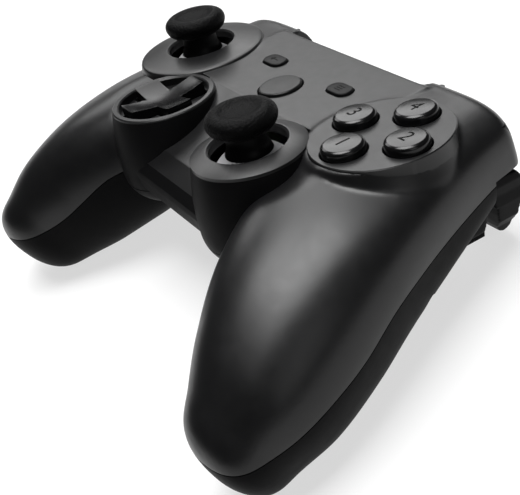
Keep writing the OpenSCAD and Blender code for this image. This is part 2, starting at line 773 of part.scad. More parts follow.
module flat_pill(half, r, z0, z1) {
    bar(-half, half, -r, r, z0, z1);
    post(-half, 0, z0, z1, r);
    post(half, 0, z0, z1, r);
}
module back_button() {
    small_button(-1);
}
module menu_button() {
    small_button(1);
}

// Bumpers
module bumper() {
    difference() {
        intersection() {
            shoulder_end();
            bar(shoulder_x + 0.6, 57.2, 35.4, 60, bumper_bottom, bumper_top);
        }
        post(peg_at[0], peg_at[1], -30, 10, peg_r + 0.08);
        bar(38, 54, 30, 38.6, bumper_bottom + 1.6, bumper_top - 1.6);
        bar(36.6, 54, 30, 37.8, bumper_bottom - 1, bumper_bottom + 1.7);
    }
    bar(42.5, 45.5, 35.1, 40, bumper_bottom + 1.5, bumper_top - 1.5);
}
module left_bumper() {
    color("#17181a") deck() mirror([1, 0, 0]) bumper();
}
module right_bumper() {
    color("#17181a") deck() bumper();
}
module bumper_switches() {
    color("#2b2d31") deck() both() {
        bar(41, 47, 31.03, 34, -11, -7);
        translate([44, 33.8, -9]) rotate([-90, 0, 0]) cylinder(h = 0.9, r = 1);
    }
}

// Triggers
module trigger() {
    difference() {
        union() {
            intersection() {
                union() {
                    across(38, 60) polygon([[32.6, -15.2], [36.8, -15.4], [38.7, -18.5], [39.4, -23],
                        [39, -28.5], [39.6, -33.4], [39.1, -35.4], [37.8, -36.2], [36.4, -35.4],
                        [35.2, -33.6], [34, -32], [33.2, -30], [32.4, -27], [31.8, -24], [32.6, -23.4]]);
                    across(54.8, 60) polygon([[29.7, -15.2], [33, -15.2], [33, -24], [31.1, -24],
                        [30.6, -21.5], [30, -18.5]]);
                }
                along(20, 60) polygon([[38, -10], [59.2, -10], [59.2, -17.5], [58, -20.5], [57.3, -24],
                    [55.3, -29.5], [52, -33], [49.8, -37], [41.5, -37], [39, -31], [38, -24]]);
            }
            bar(38.2, 46, trigger_y, 34.5, trigger_z - 2.6, trigger_z + 0.6);
            across_hole(38.2, 46, trigger_y, trigger_z, pin_r + 1.1);
        }
        across_hole(30, 54.7, trigger_y, trigger_z, pin_r + fit);
        across(40.5, 51) polygon([[34.2, -22.5], [38, -22.5], [37.4, -28], [37.4, -32], [35.6, -30.5],
            [33.8, -27], [33, -24.5]]);
    }
}
module left_trigger() {
    color("#141517") deck() mirror([1, 0, 0]) trigger();
}
module right_trigger() {
    color("#141517") deck() trigger();
}
module trigger_pins() {
    color("#b4b7bd") deck() both() across_hole(35.6, 54.3, trigger_y, trigger_z, pin_r);
}
module trigger_springs() {
    color("#9da1a8") deck() both() difference() {
        across_hole(46.4, 52.2, trigger_y, trigger_z, pin_r + 0.9);
        across_hole(40, 60, trigger_y, trigger_z, pin_r + 0.08);
    }
}
module trigger_sensors() {
    color("#2f6b4b") deck() both() bar(32.8, 35.35, trigger_y - 3.4, trigger_y + 2.6, trigger_z - 3.5,
        trigger_z + 3);
}

// Rumble motors
module at_motor(s) {
    deck() translate([s * motor_at[0], motor_at[1], motor_at[2]]) rotate([90, 0, 0]) children();
}
module motor(r) {
    cylinder(h = motor_len, r = r);
    cylinder(h = motor_len + 7.5, r = 1);
}
module motor_weight(r) {
    difference() {
        intersection() {
            translate([0, 0, motor_len + 1]) cylinder(h = 6, r = r - 1);
            union() {
                translate([-20, -20, 0]) cube([40, 20, 60]);
                cylinder(h = 60, r = 2.6);
            }
        }
        cylinder(h = 60, r = 1 + fit);
    }
}
module left_motor() {
    color("#a5a8ad") at_motor(-1) motor(left_motor_r);
}
module right_motor() {
    color("#a5a8ad") at_motor(1) motor(right_motor_r);
}
module left_motor_weight() {
    color("#77797d") at_motor(-1) motor_weight(left_motor_r);
}
module right_motor_weight() {
    color("#77797d") at_motor(1) motor_weight(right_motor_r);
}

front_shell();
rear_shell();
battery_door();
front_cell();
rear_cell();
battery_springs();
battery_plates();
main_board();
shell_screws();
board_screws();
action_membrane();
cross_membrane();
centre_membrane();
left_stick_base();
right_stick_base();
left_stick_sensors();
right_stick_sensors();
left_stick_gimbal();
right_stick_gimbal();
left_stick_rocker();
right_stick_rocker();
left_stick_lever();
right_stick_lever();
left_stick_cap();
right_stick_cap();
left_stick_switch();
right_stick_switch();
cross_post();
cross_ball();
direction_cross();
face_button_near();
face_button_right();
face_button_left();
face_button_far();
home_button();
back_button();
menu_button();
left_bumper();
right_bumper();
bumper_switches();
left_trigger();
right_trigger();
trigger_pins();
trigger_springs();
trigger_sensors();
left_motor();
right_motor();
left_motor_weight();
right_motor_weight();
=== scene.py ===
# %% [markdown]
# # A wireless game pad
# The pad's solids come from its CAD model, which is loaded first and never changed. Everything
# made here is a finer skin over those solids. It is modelled in metres in the same frame, so a
# piece needs no fitting: it is drawn where the CAD model says it is.

# %% Load the frame
import json
import math

import bpy
from mathutils import Matrix, Vector


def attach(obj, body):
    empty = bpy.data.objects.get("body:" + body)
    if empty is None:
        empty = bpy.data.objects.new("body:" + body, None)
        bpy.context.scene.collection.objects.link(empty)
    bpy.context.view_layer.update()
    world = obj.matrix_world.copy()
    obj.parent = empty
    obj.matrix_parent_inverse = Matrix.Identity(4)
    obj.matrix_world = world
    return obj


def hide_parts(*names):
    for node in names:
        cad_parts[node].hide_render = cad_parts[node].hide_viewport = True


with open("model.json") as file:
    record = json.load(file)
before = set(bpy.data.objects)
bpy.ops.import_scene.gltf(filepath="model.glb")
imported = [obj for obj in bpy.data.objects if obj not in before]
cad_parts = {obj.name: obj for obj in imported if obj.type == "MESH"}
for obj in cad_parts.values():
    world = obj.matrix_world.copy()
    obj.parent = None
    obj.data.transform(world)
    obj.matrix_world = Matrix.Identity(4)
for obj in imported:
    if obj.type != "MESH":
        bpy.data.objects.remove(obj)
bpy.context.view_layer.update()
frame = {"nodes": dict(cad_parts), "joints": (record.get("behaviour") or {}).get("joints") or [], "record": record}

# %% [markdown]
# ## The deck
# A game pad is drawn on its deck, the flat panel between the sticks, but it lies tipped on a
# table, on its grips and its battery box. The frame tells how: the home button moves straight
# into the deck, so its joint gives the deck's slope, and the left stick's turning centre is a
# known point of the deck. Pieces are drawn on a level deck in millimetres and tipped at the end.

# %% Find the deck in the frame
MM = 0.001
joints = {joint["name"]: joint for joint in frame["joints"]}
into_deck = Vector(joints["home_button_press"]["axis"])
deck_turn = Matrix.Rotation(-math.atan2(-into_deck.y, -into_deck.z), 4, "X")
UPPER = (45, 12)
LOWER = (24, -11)
PIVOT_Z = -10.5
stick_centre = Vector(joints["left_stick_fore_aft"]["pos_m"])
on_deck = Vector((-UPPER[0], UPPER[1], PIVOT_Z)) * MM
deck = Matrix.Translation(stick_centre - deck_turn @ on_deck) @ deck_turn
print("middle of the panel, in mm:", [round(1000 * part, 2) for part in deck.translation])

# %% [markdown]
# ## The camera
# The photograph was taken from close by, in front of the right grip, with the camera rolled a
# little. The numbers come from lining the sticks, the buttons and the outline up with the
# picture: where the camera looks, from how far, how high, and how far it is rolled.

# %% Set up the camera
PICTURE_WIDTH = 520
FOCAL_PIXELS = 1079.687
LOOK_AT = Vector((63.401, -30.731, 0)) * MM
LOOK_FROM, LOOK_HEIGHT, LOOK_ROLL = 1.186, 0.539, -0.264
LOOK_DISTANCE = 212.788 * MM
back = Vector((
    math.sin(LOOK_FROM) * math.cos(LOOK_HEIGHT),
    -math.cos(LOOK_FROM) * math.cos(LOOK_HEIGHT),
    math.sin(LOOK_HEIGHT),
))
level = (-back).cross(Vector((0, 0, 1))).normalized()
over = level.cross(-back)
right = math.cos(LOOK_ROLL) * level + math.sin(LOOK_ROLL) * over
up = math.cos(LOOK_ROLL) * over - math.sin(LOOK_ROLL) * level
bpy.ops.object.select_all(action="DESELECT")
bpy.ops.object.camera_add()
camera = bpy.context.object
camera.data.sensor_width = 36
camera.data.sensor_fit = "HORIZONTAL"
camera.data.lens = 36 * FOCAL_PIXELS / PICTURE_WIDTH
camera.data.clip_start = 0.01
stand = Matrix((right, up, back)).transposed().to_4x4()
stand.translation = LOOK_AT + back * LOOK_DISTANCE
camera.matrix_world = deck @ stand
bpy.context.scene.camera = camera
print("lens in mm:", round(camera.data.lens, 2))

# %% [markdown]
# ## Floor and light
# The picture is a studio shot on white. One broad soft box hangs above the pad, so that a long
# soft highlight lies along the grip, and three weaker ones stand behind it, on its left and on
# its right. The lamps stay at a plain level. The white comes from the floor, which glows only
# where it is seen, directly or mirrored, so that it keeps the shadow and doesn't light the pad.

# %% Light the studio
scene = bpy.context.scene
scene.view_settings.view_transform = "Standard"


def soft_box(name, bearing, height, distance, width, depth, power):
    """A square lamp in a direction from the pad: bearing clockwise from straight behind it."""
    bearing, height = math.radians(bearing), math.radians(height)
    way = Vector((
        math.sin(bearing) * math.cos(height),
        math.cos(bearing) * math.cos(height),
        math.sin(height),
    ))
    bpy.ops.object.light_add(type="AREA", location=way * distance)
    lamp = bpy.context.object
    lamp.name = name
    lamp.data.shape = "RECTANGLE"
    lamp.data.size = width
    lamp.data.size_y = depth
    lamp.data.energy = power
    lamp.rotation_euler = way.to_track_quat("Z", "Y").to_euler()


soft_box("lamp_above", 0, 84, 0.95, 0.6, 0.6, 14)
soft_box("lamp_behind", -52, 40, 1, 0.5, 0.75, 5)
soft_box("lamp_left", -84, 36, 1, 0.35, 0.4, 1.5)
soft_box("lamp_right", 88, 32, 1.05, 0.5, 0.6, 1)

world = bpy.data.worlds.new("studio")
world.use_nodes = True
scene.world = world
sky = world.node_tree.nodes["Background"]
sky.inputs["Color"].default_value = (1, 1, 1, 1)
sky.inputs["Strength"].default_value = 0.03

FLOOR_GLOW = 0.65
bpy.ops.mesh.primitive_plane_add(size=6)
floor = bpy.context.object
floor.name = "studio_floor"
floor_paint = bpy.data.materials.new("floor_paint")
floor_paint.use_nodes = True
paint_nodes, paint_links = floor_paint.node_tree.nodes, floor_paint.node_tree.links
paint = paint_nodes["Principled BSDF"]
paint.inputs["Base Color"].default_value = (0.3, 0.3, 0.3, 1)
paint.inputs["Roughness"].default_value = 0.9
paint.inputs["Specular IOR Level"].default_value = 0
paint.inputs["Emission Color"].default_value = (1, 1, 1, 1)
path = paint_nodes.new("ShaderNodeLightPath")
seen = path.outputs["Is Camera Ray"]
for ray in ("Is Glossy Ray", "Is Transmission Ray"):
    either = paint_nodes.new("ShaderNodeMath")
    either.operation = "MAXIMUM"
    paint_links.new(seen, either.inputs[0])
    paint_links.new(path.outputs[ray], either.inputs[1])
    seen = either.outputs["Value"]
glow = paint_nodes.new("ShaderNodeMath")
glow.operation = "MULTIPLY"
glow.inputs[1].default_value = FLOOR_GLOW
paint_links.new(seen, glow.inputs[0])
paint_links.new(glow.outputs["Value"], paint.inputs["Emission Strength"])
floor.data.materials.append(floor_paint)

# %% [markdown]
# ## Ways of working
# Most of the pad is either drawn in outline and pulled into a slab, or turned about an axis like
# a pot. These few helpers do that with the same tools a hand would use: a primitive is added,
# its corners are moved on to the drawing, and it is extruded or spun.

# %% Helpers to select, tidy and cut


def only(piece):
    """Makes one piece the only selected one."""
    bpy.ops.object.select_all(action="DESELECT")
    piece.select_set(True)
    bpy.context.view_layer.objects.active = piece


def pick(piece, kind, test):
    """Opens a piece in edit mode with the corners, edges or faces selected that pass a test."""
    only(piece)
    bpy.ops.object.mode_set(mode="EDIT")
    bpy.ops.mesh.select_mode(type=kind)
    bpy.ops.mesh.select_all(action="DESELECT")
    bpy.ops.object.mode_set(mode="OBJECT")
    parts = {"VERT": "vertices", "EDGE": "edges", "FACE": "polygons"}[kind]
    for part in getattr(piece.data, parts):
        part.select = test(part)
    bpy.ops.object.mode_set(mode="EDIT")


def tidy(piece):
    """Merges doubled corners and turns all faces outward."""
    only(piece)
    bpy.ops.object.mode_set(mode="EDIT")
    bpy.ops.mesh.select_mode(type="VERT")
    bpy.ops.mesh.select_all(action="SELECT")
    bpy.ops.mesh.remove_doubles(threshold=1e-6)
    bpy.ops.mesh.normals_make_consistent(inside=False)
    bpy.ops.object.mode_set(mode="OBJECT")
    return piece


def use(piece, kind, **settings):
    """Adds a modifier, sets it up and applies it."""
    only(piece)
    modifier = piece.modifiers.new(kind.lower(), kind)
    for name, value in settings.items():
        setattr(modifier, name, value)
    bpy.ops.object.modifier_apply(modifier=modifier.name)
    return piece


def cut(piece, tool, way="DIFFERENCE"):
    """Takes a tool out of a piece, joins it on, or leaves only what both share."""
    use(piece, "BOOLEAN", object=tool, operation=way, solver="MANIFOLD")
    bpy.data.objects.remove(tool)
    return piece


def joined(name, pieces):
    """Puts several pieces into one object."""
    only(pieces[0])
    for piece in pieces:
        piece.select_set(True)
    if len(pieces) > 1:
        bpy.ops.object.join()
    pieces[0].name = name
    return pieces[0]


def copied(piece, name):
    """A second piece with a mesh of its own."""
    only(piece)
    bpy.ops.object.duplicate()
    bpy.context.object.name = name
    return bpy.context.object


# %% Helpers to draw, pull and turn


def outline(points, fill="NGON"):
    """A flat loop through points in millimetres: a circle whose corners are moved."""
    bpy.ops.object.select_all(action="DESELECT")
    bpy.ops.mesh.primitive_circle_add(vertices=len(points), radius=MM, fill_type=fill)
    for corner, point in zip(bpy.context.object.data.vertices, points):
        corner.co = Vector(point) * MM
    return bpy.context.object


def slab(name, points, pull):
    """An outline pulled into a solid."""
    piece = outline(points)
    piece.name = name
    bpy.ops.object.mode_set(mode="EDIT")
    bpy.ops.mesh.select_all(action="SELECT")
    bpy.ops.mesh.extrude_region_move(TRANSFORM_OT_translate={"value": Vector(pull) * MM})
    bpy.ops.object.mode_set(mode="OBJECT")
    return tidy(piece)


def bar(name, x0, x1, y0, y1, z0, z1):
    """A block between two corners."""
    loop = [(x0, y0, z0), (x1, y0, z0), (x1, y1, z0), (x0, y1, z0)]
    return slab(name, loop, (0, 0, z1 - z0))


def turned(name, profile, x=0, y=0, steps=96):
    """A profile of radius and height, spun about an upright axis."""
    piece = outline([(radius, 0, height) for radius, height in profile], "NOTHING")
    piece.name = name
    bpy.ops.object.mode_set(mode="EDIT")
    bpy.ops.mesh.select_all(action="SELECT")
    bpy.ops.mesh.spin(steps=steps, angle=math.tau, center=(0, 0, 0), axis=(0, 0, 1))
    bpy.ops.mesh.select_all(action="SELECT")
    bpy.ops.transform.translate(value=Vector((x, y, 0)) * MM)
    bpy.ops.object.mode_set(mode="OBJECT")
    return tidy(piece)


def post(name, x, y, z0, z1, radius):
    """A round post."""
    return turned(name, [(0, z0), (radius, z0), (radius, z1), (0, z1)], x, y)


def flowing(points, steps=6):
    """A smooth line through points, for a profile without corners."""
    ends = [points[0], *points, points[-1]]
    line = []
    for a, b, c, d in zip(ends, ends[1:], ends[2:], ends[3:]):
        for step in range(steps):
            f = step / steps
            line.append(tuple(
                q + 0.5 * f * ((r - p) + f * ((2 * p - 5 * q + 4 * r - s) + f * (3 * (q - r) + s - p)))
                for p, q, r, s in zip(a, b, c, d)
            ))
    return [*line, points[-1]]


def settle(piece, body, slot, *nodes, angle=30):
    """Tips a piece on to the deck's slope, smooths its shading and ties it to the frame."""
    piece.data.transform(deck)
    only(piece)
    bpy.ops.object.shade_smooth_by_angle(angle=math.radians(angle))
    if nodes:
        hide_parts(*nodes)
    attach(piece, body)
    print(piece.name, "faces:", len(piece.data.polygons))
    return piece


# %% [markdown]
# ## Black plastics
# Nearly all of the pad is black moulded plastic, and only the surface tells its pieces apart:
# the front shell is satin and the rear shell duller, the face buttons and the cross are smooth,
# and the stick caps are a soft grainy rubber. One helper mixes them all from a colour, a
# roughness and a grain, so that a finish is a short list of numbers. The grain is noise on the
# Object coordinates, in metres.

# %% Helpers for the nodes of a finish


class Finish:
    """A new material, with short ways to add noise, ranges and mixes to it."""

    def __init__(self, name):
        self.material = bpy.data.materials.new(name)
        self.material.use_nodes = True
        self.tree = self.material.node_tree
        self.shader = self.tree.nodes["Principled BSDF"]
        self.place = self.tree.nodes.new("ShaderNodeTexCoord").outputs["Object"]

    def stretched(self, scale):
        """Object coordinates, stretched for a pattern with a direction."""
        mapping = self.tree.nodes.new("ShaderNodeMapping")
        mapping.inputs["Scale"].default_value = scale
        self.tree.links.new(self.place, mapping.inputs["Vector"])
        return mapping.outputs["Vector"]

    def noise(self, size, detail, place=None):
        """Noise with features of a size in millimetres."""
        texture = self.tree.nodes.new("ShaderNodeTexNoise")
        texture.inputs["Scale"].default_value = 1 / (size * MM)
        texture.inputs["Detail"].default_value = detail
        self.tree.links.new(place or self.place, texture.inputs["Vector"])
        return texture.outputs["Fac"]

    def spread(self, source, low, high, start=0.3, end=0.7):
        """A source between start and end, spread between low and high."""
        scale = self.tree.nodes.new("ShaderNodeMapRange")
        scale.inputs["From Min"].default_value = start
        scale.inputs["From Max"].default_value = end
        scale.inputs["To Min"].default_value = low
        scale.inputs["To Max"].default_value = high
        self.tree.links.new(source, scale.inputs["Value"])
        return scale.outputs["Result"]

    def mixed(self, share, first, second):
        """Two colours, mixed by a share."""
        mix = self.tree.nodes.new("ShaderNodeMix")
        mix.data_type = "RGBA"
        self.tree.links.new(share, mix.inputs[0])
        for socket, colour in ((6, first), (7, second)):
            if isinstance(colour, tuple):
                mix.inputs[socket].default_value = (*colour, 1)
            else:
                self.tree.links.new(colour, mix.inputs[socket])
        return mix.outputs[2]

    def patches(self, size, first, second):
        """Two colours in soft patches of a size in millimetres."""
        return self.mixed(self.spread(self.noise(size, 3), 0, 1), first, second)

    def worn(self, colour, edge):
        """A colour that turns into another one on sharp edges."""
        sharp = self.tree.nodes.new("ShaderNodeNewGeometry").outputs["Pointiness"]
        return self.mixed(self.spread(sharp, 0, 0.6, 0.53, 0.62), colour, edge)

    def wear(self, colour, roughness, height, relief):
        """Links a colour, a roughness and a relief in millimetres to the shader."""
        self.tree.links.new(colour, self.shader.inputs["Base Color"])
        self.tree.links.new(roughness, self.shader.inputs["Roughness"])
        bump = self.tree.nodes.new("ShaderNodeBump")
        bump.inputs["Distance"].default_value = relief * MM
        self.tree.links.new(height, bump.inputs["Height"])
        self.tree.links.new(bump.outputs["Normal"], self.shader.inputs["Normal"])
        return self.material


# %% Mix the black plastics


def plastic(name, shade, edge, roughness, grain, relief, gloss=0.5):
    """A moulded plastic: shade and worn edge colour, roughness, grain size and relief in mm."""
    finish = Finish(name)
    dusty = tuple(1.2 * part + 0.0004 for part in shade)
    patches = finish.patches(14, shade, dusty)
    rough = finish.spread(finish.noise(3, 4), roughness - 0.02, roughness + 0.03)
    finish.shader.inputs["Specular IOR Level"].default_value = gloss
    return finish.wear(finish.worn(patches, edge), rough, finish.noise(grain, 3), relief)


SATIN = plastic("satin_black", (0.004, 0.004, 0.0043), (0.012, 0.012, 0.0125), 0.36, 0.3, 0.006, 0.36)
POLISHED = plastic("polished_black", (0.003, 0.003, 0.0032), (0.008, 0.008, 0.0085), 0.2, 2, 0.002, 0.3)
RUBBER = plastic("cap_rubber", (0.002, 0.002, 0.0021), (0.006, 0.006, 0.006), 0.45, 0.6, 0.3, 0.035)
# The rear shell's own duller finish. On the front shell's turret walls and chin front it is painted shade.
REAR_SATIN_AND_WALL_SHADE = plastic("rear_satin", (0.0025, 0.0025, 0.0027), (0.006, 0.006, 0.0063), 0.5, 0.35, 0.01, 0.05)
DULL = plastic("dull_black", (0.003, 0.003, 0.0032), (0.008, 0.008, 0.0083), 0.42, 0.35, 0.006, 0.09)
# The dome's grey is lighter than its own colour: painted light that makes up for the cap's shade
DOME_GREY_AND_PAINTED_LIGHT = plastic("dome_grey", (0.4, 0.4, 0.41), (0.46, 0.46, 0.47), 0.35, 0.5, 0.004, 0.4)
CROSS_BLACK = plastic("cross_black", (0.002, 0.002, 0.0022), (0.006, 0.006, 0.0063), 0.2, 2, 0.002, 0.14)
HOME_BLACK = plastic("home_black", (0.003, 0.003, 0.0032), (0.008, 0.008, 0.0083), 0.34, 0.3, 0.006, 0.2)
INK = plastic("sunk_ink", (0.001, 0.001, 0.001), (0.002, 0.002, 0.002), 0.7, 0.4, 0.01, 0.1)
print("finishes:", [material.name for material in bpy.data.materials])

# %% [markdown]
# ## The grips
# Each grip is one long lobe that runs from the shoulder down to the tip of the handle. It could
# be sculpted, but a boat builder's way keeps it fair: a few cross-sections are drawn, rounded
# squares that lean over as the hand does, and a skin is lofted through them. In Blender that is
# a cylinder cut into rings, with each ring moved on to its section.

# %% Loft a grip
# Each row: fore and aft place, sideways place, height, half width, half height, lean, squareness
GRIP_SECTIONS = [
    (36, 38.5, -11, 21, 10.6, 0, 3.3),
    (24, 41, -12.9, 21.5, 12.9, 4.5, 3.4),
    (8, 44.8, -16.3, 22.3, 16, 10.3, 3.1),
    (-8, 49.2, -20.8, 22.9, 18.8, 15.6, 2.6),
    (-22, 54, -26.8, 22, 19.7, 19.9, 2.4),
    (-35, 59.2, -34.1, 18.7, 18.2, 22.2, 2.3),
    (-45, 62.5, -40.2, 14, 14.8, 22.4, 2.35),
]
SHOULDER_LENGTH, TIP_LENGTH, END_POWER = 6, 11, 2.2
PER_SECTION = 11
END_STEPS = [0.12, 0.25, 0.38, 0.5, 0.62, 0.73, 0.82, 0.89, 0.94, 0.97, 0.99, 0.998]


def first_last(rows):
    """The rows with one more at each end, in line with their neighbours."""
    before = tuple(2 * a - b for a, b in zip(rows[0], rows[1]))
    after = tuple(2 * a - b for a, b in zip(rows[-1], rows[-2]))
    return [before, *rows, after]


def grip_section(u):
    """Section at row u, and its change along the grip."""
    rows = first_last(GRIP_SECTIONS)
    k = min(int(u), len(GRIP_SECTIONS) - 2)
    f = u - k
    found, change = [], []
    for a, b, c, d in zip(*rows[k:k + 4]):
        p, q = 2 * a - 5 * b + 4 * c - d, 3 * (b - c) + d - a
        found.append(b + 0.5 * f * ((c - a) + f * (p + f * q)))
        change.append(0.5 * ((c - a) + f * (2 * p + 3 * f * q)))
    return found, change


def grip_rings():
    """Every ring: row, share of an end's rounding, and which way that end points."""
    last = len(GRIP_SECTIONS) - 1
    rows = [i / PER_SECTION for i in range(last * PER_SECTION + 1)]
    shoulder = [(0, e, -1) for e in reversed(END_STEPS)]
    return shoulder + [(u, 0, 0) for u in rows] + [(last, e, 1) for e in END_STEPS]


def grip_point(ring, angle):
    """One corner of a ring of the grip. The tip goes on narrowing as the last section does."""
    u, e, away = ring
    (y, x, z, a, b, lean, square), (dy, dx, dz, da, db, *_) = grip_section(u)
    step = Vector((dx, dy, dz))
    size = (1 - e ** END_POWER) ** (1 / END_POWER)
    length = e * (TIP_LENGTH if away > 0 else SHOULDER_LENGTH)
    fall = max(0, away) * length * (1 - e) ** 2 / step.length
    centre = Vector((x, y, z)) + step.normalized() * away * length
    pitch, lean = math.atan2(-dz, -dy), math.radians(lean)
    c, s = math.cos(angle), math.sin(angle)
    p = (size * a + fall * da) * math.copysign(abs(c) ** (2 / square), c)
    q = (size * b + fall * db) * math.copysign(abs(s) ** (2 / square), s)
    h = p * math.cos(lean) + q * math.sin(lean)
    v = q * math.cos(lean) - p * math.sin(lean)
    return centre + Vector((h, -math.sin(pitch) * v, math.cos(pitch) * v))


def loft(name, rings, around, point):
    """A tube of rings whose corners are put in place one by one."""
    bpy.ops.object.select_all(action="DESELECT")
    bpy.ops.mesh.primitive_cylinder_add(vertices=around, radius=1, depth=len(rings) - 1)
    tube = bpy.context.object
    tube.name = name
    corners = tube.data.vertices
    pick(tube, "EDGE", lambda edge: corners[edge.vertices[0]].co.z != corners[edge.vertices[1]].co.z)
    bpy.ops.mesh.subdivide(number_cuts=len(rings) - 2)
    bpy.ops.object.mode_set(mode="OBJECT")
    for corner in tube.data.vertices:
        ring = rings[round(corner.co.z + (len(rings) - 1) / 2)]
        corner.co = point(ring, math.atan2(corner.co.y, corner.co.x)) * MM
    return tidy(tube)


def mirrored(piece, name):
    """A copy of a right-hand piece for the left hand."""
    twin = copied(piece, name)
    twin.data.transform(Matrix.Scale(-1, 4, (1, 0, 0)))
    return tidy(twin)


SHOULDER_X, MIDDLE_Y = 30.6, 35
right_grip = loft("right_grip", grip_rings(), 96, grip_point)
shoulder = copied(right_grip, "shoulder")
cut(right_grip, bar("inner_end", 0, SHOULDER_X, MIDDLE_Y - 0.4, 60, -60, 20))
left_grip = mirrored(right_grip, "left_grip")
print("grip corners:", len(right_grip.data.vertices))

# %% [markdown]
# ## The soft forms
# Between the grips lies the middle of the body, with the battery box under it, drawn from the
# side and pulled across. Under the button disc the deck flares out into the grip. On the moulded
# pad these forms run into each other. A chain of Booleans would leave knife-sharp creases, so
# the forms are joined and remeshed in small voxels, which keeps only the outer skin. A few rounds
# of smoothing then fillet every crease, and many more rounds give the hollow beside the disc. At
# last the deck is lowered a little beside each turret.

# %% Unite the soft forms and fillet their creases
VOXEL = 0.6
BOX_Z = -38.5
HOLLOW_FROM, HOLLOW_TO, HOLLOW_LOW = 18.4, 30, -16
DIP_AT, DIP_REACH, DIP_DEPTH = (37, -11), 12, 2

middle = slab("middle", [(-34, y, z) for y, z in [
    (33.6, 0), (34.5, -1), (35, -3), (35, -15), (33.5, -36), (31.5, BOX_Z), (-4, BOX_Z),
    (-7, BOX_Z + 2), (-10, -34), (-10, -7), (3.5, -2), (3.5, 0),
]], (68, 0, 0))
cut(middle, slab("box_sides", [(x, -60, z) for x, z in [
    (-34, 9), (34, 9), (34, -30), (32.5, -36.5), (30.5, BOX_Z),
    (-30.5, BOX_Z), (-32.5, -36.5), (-34, -30),
]], (0, 120, 0)), "INTERSECT")


def trigger_house(side):
    """The swelling of the rear shell in front of a trigger."""
    house = slab("trigger_house", [(side * 28, y, z) for y, z in [
        (8, -12), (8, -26), (18, -31), (25, -33), (28, -32.4), (29, -30), (29, -12),
    ]], (side * 30, 0, 0))
    sides = slab("house_sides", [(side * x, 0, z) for x, z in [
        (20, -5), (57.5, -5), (57.5, -24), (55.5, -29.5), (52, -33), (20, -33),
    ]], (0, 60, 0))
    return cut(house, sides, "INTERSECT")


def remesh(piece, voxel):
    """Keeps the outer skin of a piece, in voxels of a size in millimetres."""
    use(piece, "REMESH", mode="VOXEL", voxel_size=voxel * MM)


def even_out(piece, rounds, where=None):
    """Smooths a piece, all over or by a weight between 0 and 1 for each corner."""
    group = piece.vertex_groups.new(name="even_out")
    shares = {}
    for corner in piece.data.vertices:
        share = round(10 * where(corner.co / MM)) if where else 10
        if share:
            shares.setdefault(share, []).append(corner.index)
    for share, corners in shares.items():
        group.add(corners, share / 10, "REPLACE")
    use(piece, "SMOOTH", factor=0.5, iterations=rounds, vertex_group=group.name)
    piece.vertex_groups.clear()


def disc_hollow(point):
    """Weight of the hollow on the grip's side of the button disc."""
    away = Vector((point.x - UPPER[0], point.y - UPPER[1]))
    if point.z < HOLLOW_LOW or not HOLLOW_FROM < away.length < HOLLOW_TO:
        return 0
    toward_grip = away.normalized().dot(Vector((0.75, -0.66)))
    edge = min(1, (away.length - HOLLOW_FROM) / 3, (HOLLOW_TO - away.length) / 5)
    return max(0, min(1, 0.6 + toward_grip)) * edge


def sink(piece, x, y, reach, depth):
    """Lowers the deck round a place on both sides, less and less with the distance."""
    for corner in piece.data.vertices:
        away = math.dist((abs(corner.co.x), corner.co.y), (x * MM, y * MM)) / MM
        if away < reach:
            near = 0.5 + 0.5 * math.cos(math.pi * away / reach)
            on_top = max(0, min(1, 2 + corner.co.z / (6 * MM)))
            corner.co.z -= depth * (near * on_top) * MM


flare = turned("disc_flare", [
    (0, -14), (20.6, -14),
    *flowing([(20.4, -8), (19.5, -5.6), (18.6, -3.6), (17.8, -1.6), (17.2, 0.2)]),
    (16.4, 0.4), (0, 0.4),
], UPPER[0] - 1.2, UPPER[1] - 0.9)
body = joined("body", [right_grip, left_grip, middle, trigger_house(1), trigger_house(-1), flare])
remesh(body, VOXEL)
even_out(body, 3)
even_out(body, 25, disc_hollow)
sink(body, *DIP_AT, DIP_REACH, DIP_DEPTH)
print("body corners:", len(body.data.vertices))

# %% [markdown]
# ## The crisp forms
# The cross and the right stick stand on two round turrets with bulging walls, the four buttons on
# a flat disc, and the left stick on a low cone with a rounded lip. Between the turrets the panel
# slopes down to a chin. These forms have clean edges in the picture, so they are joined on with
# Booleans, which keep every edge sharp. Forms that don't touch each other are put into one object
# first, here and below, so that one Boolean does them all.

# %% Turn the turrets, the disc and the pod, and join them on
DISH_R, DISH_Z = 12.4, -2
RIM_Z, HOLE_R = 1.9, 9.5
DISC_R, DISC_Z = 17, 0.8

chin = slab("chin", [(-24, y, z) for y, z in [
    (10, -0.01), (10, -33), (-10, -33), (-23.5, -21), (-25.6, -18.5), (-26.2, -14.6), (-25.9, -13.4),
    (-23.8, -10.9), (-19.4, -7.8), (-10, -4.6), (1.5, -0.5), (3, -0.01),
]], (48, 0, 0))
turret_wall = [(0, -28), *flowing([
    (8, -27), (13.5, -24), (16, -20), (16.3, -14), (15.8, -8), (14.9, -3), (14.25, -0.4)])]
cross_turret = turned(
    "cross_turret", [*turret_wall, (14.2, 0), (13.9, 0.3), (0, 0.3)], -LOWER[0], LOWER[1], 144)
stick_turret = turned(
    "stick_turret", [*turret_wall, (14.25, 0.4), (HOLE_R + 1, RIM_Z), (0, RIM_Z)], *LOWER, 144)
button_disc = turned("button_disc", [
    (0, -4), (DISC_R, -4), (DISC_R, DISC_Z - 0.25), (DISC_R - 0.25, DISC_Z), (0, DISC_Z),
], *UPPER, 160)
pod_lip = flowing([(18.8, -3), (18.5, -1.2), (18.25, -0.1), (17.9, 0.5), (17.2, 0.78)])
stick_pod = turned("stick_pod", [
    (0, -14), (19, -14), (19, -6), *pod_lip, (16.6, 0.88), (HOLE_R + 1, RIM_Z), (0, RIM_Z),
], -UPPER[0], UPPER[1], 160)
for forms in ([chin], [cross_turret, stick_turret], [button_disc, stick_pod]):
    cut(body, joined("forms", forms), "UNION")
print("body corners with its crisp forms:", len(body.data.vertices))

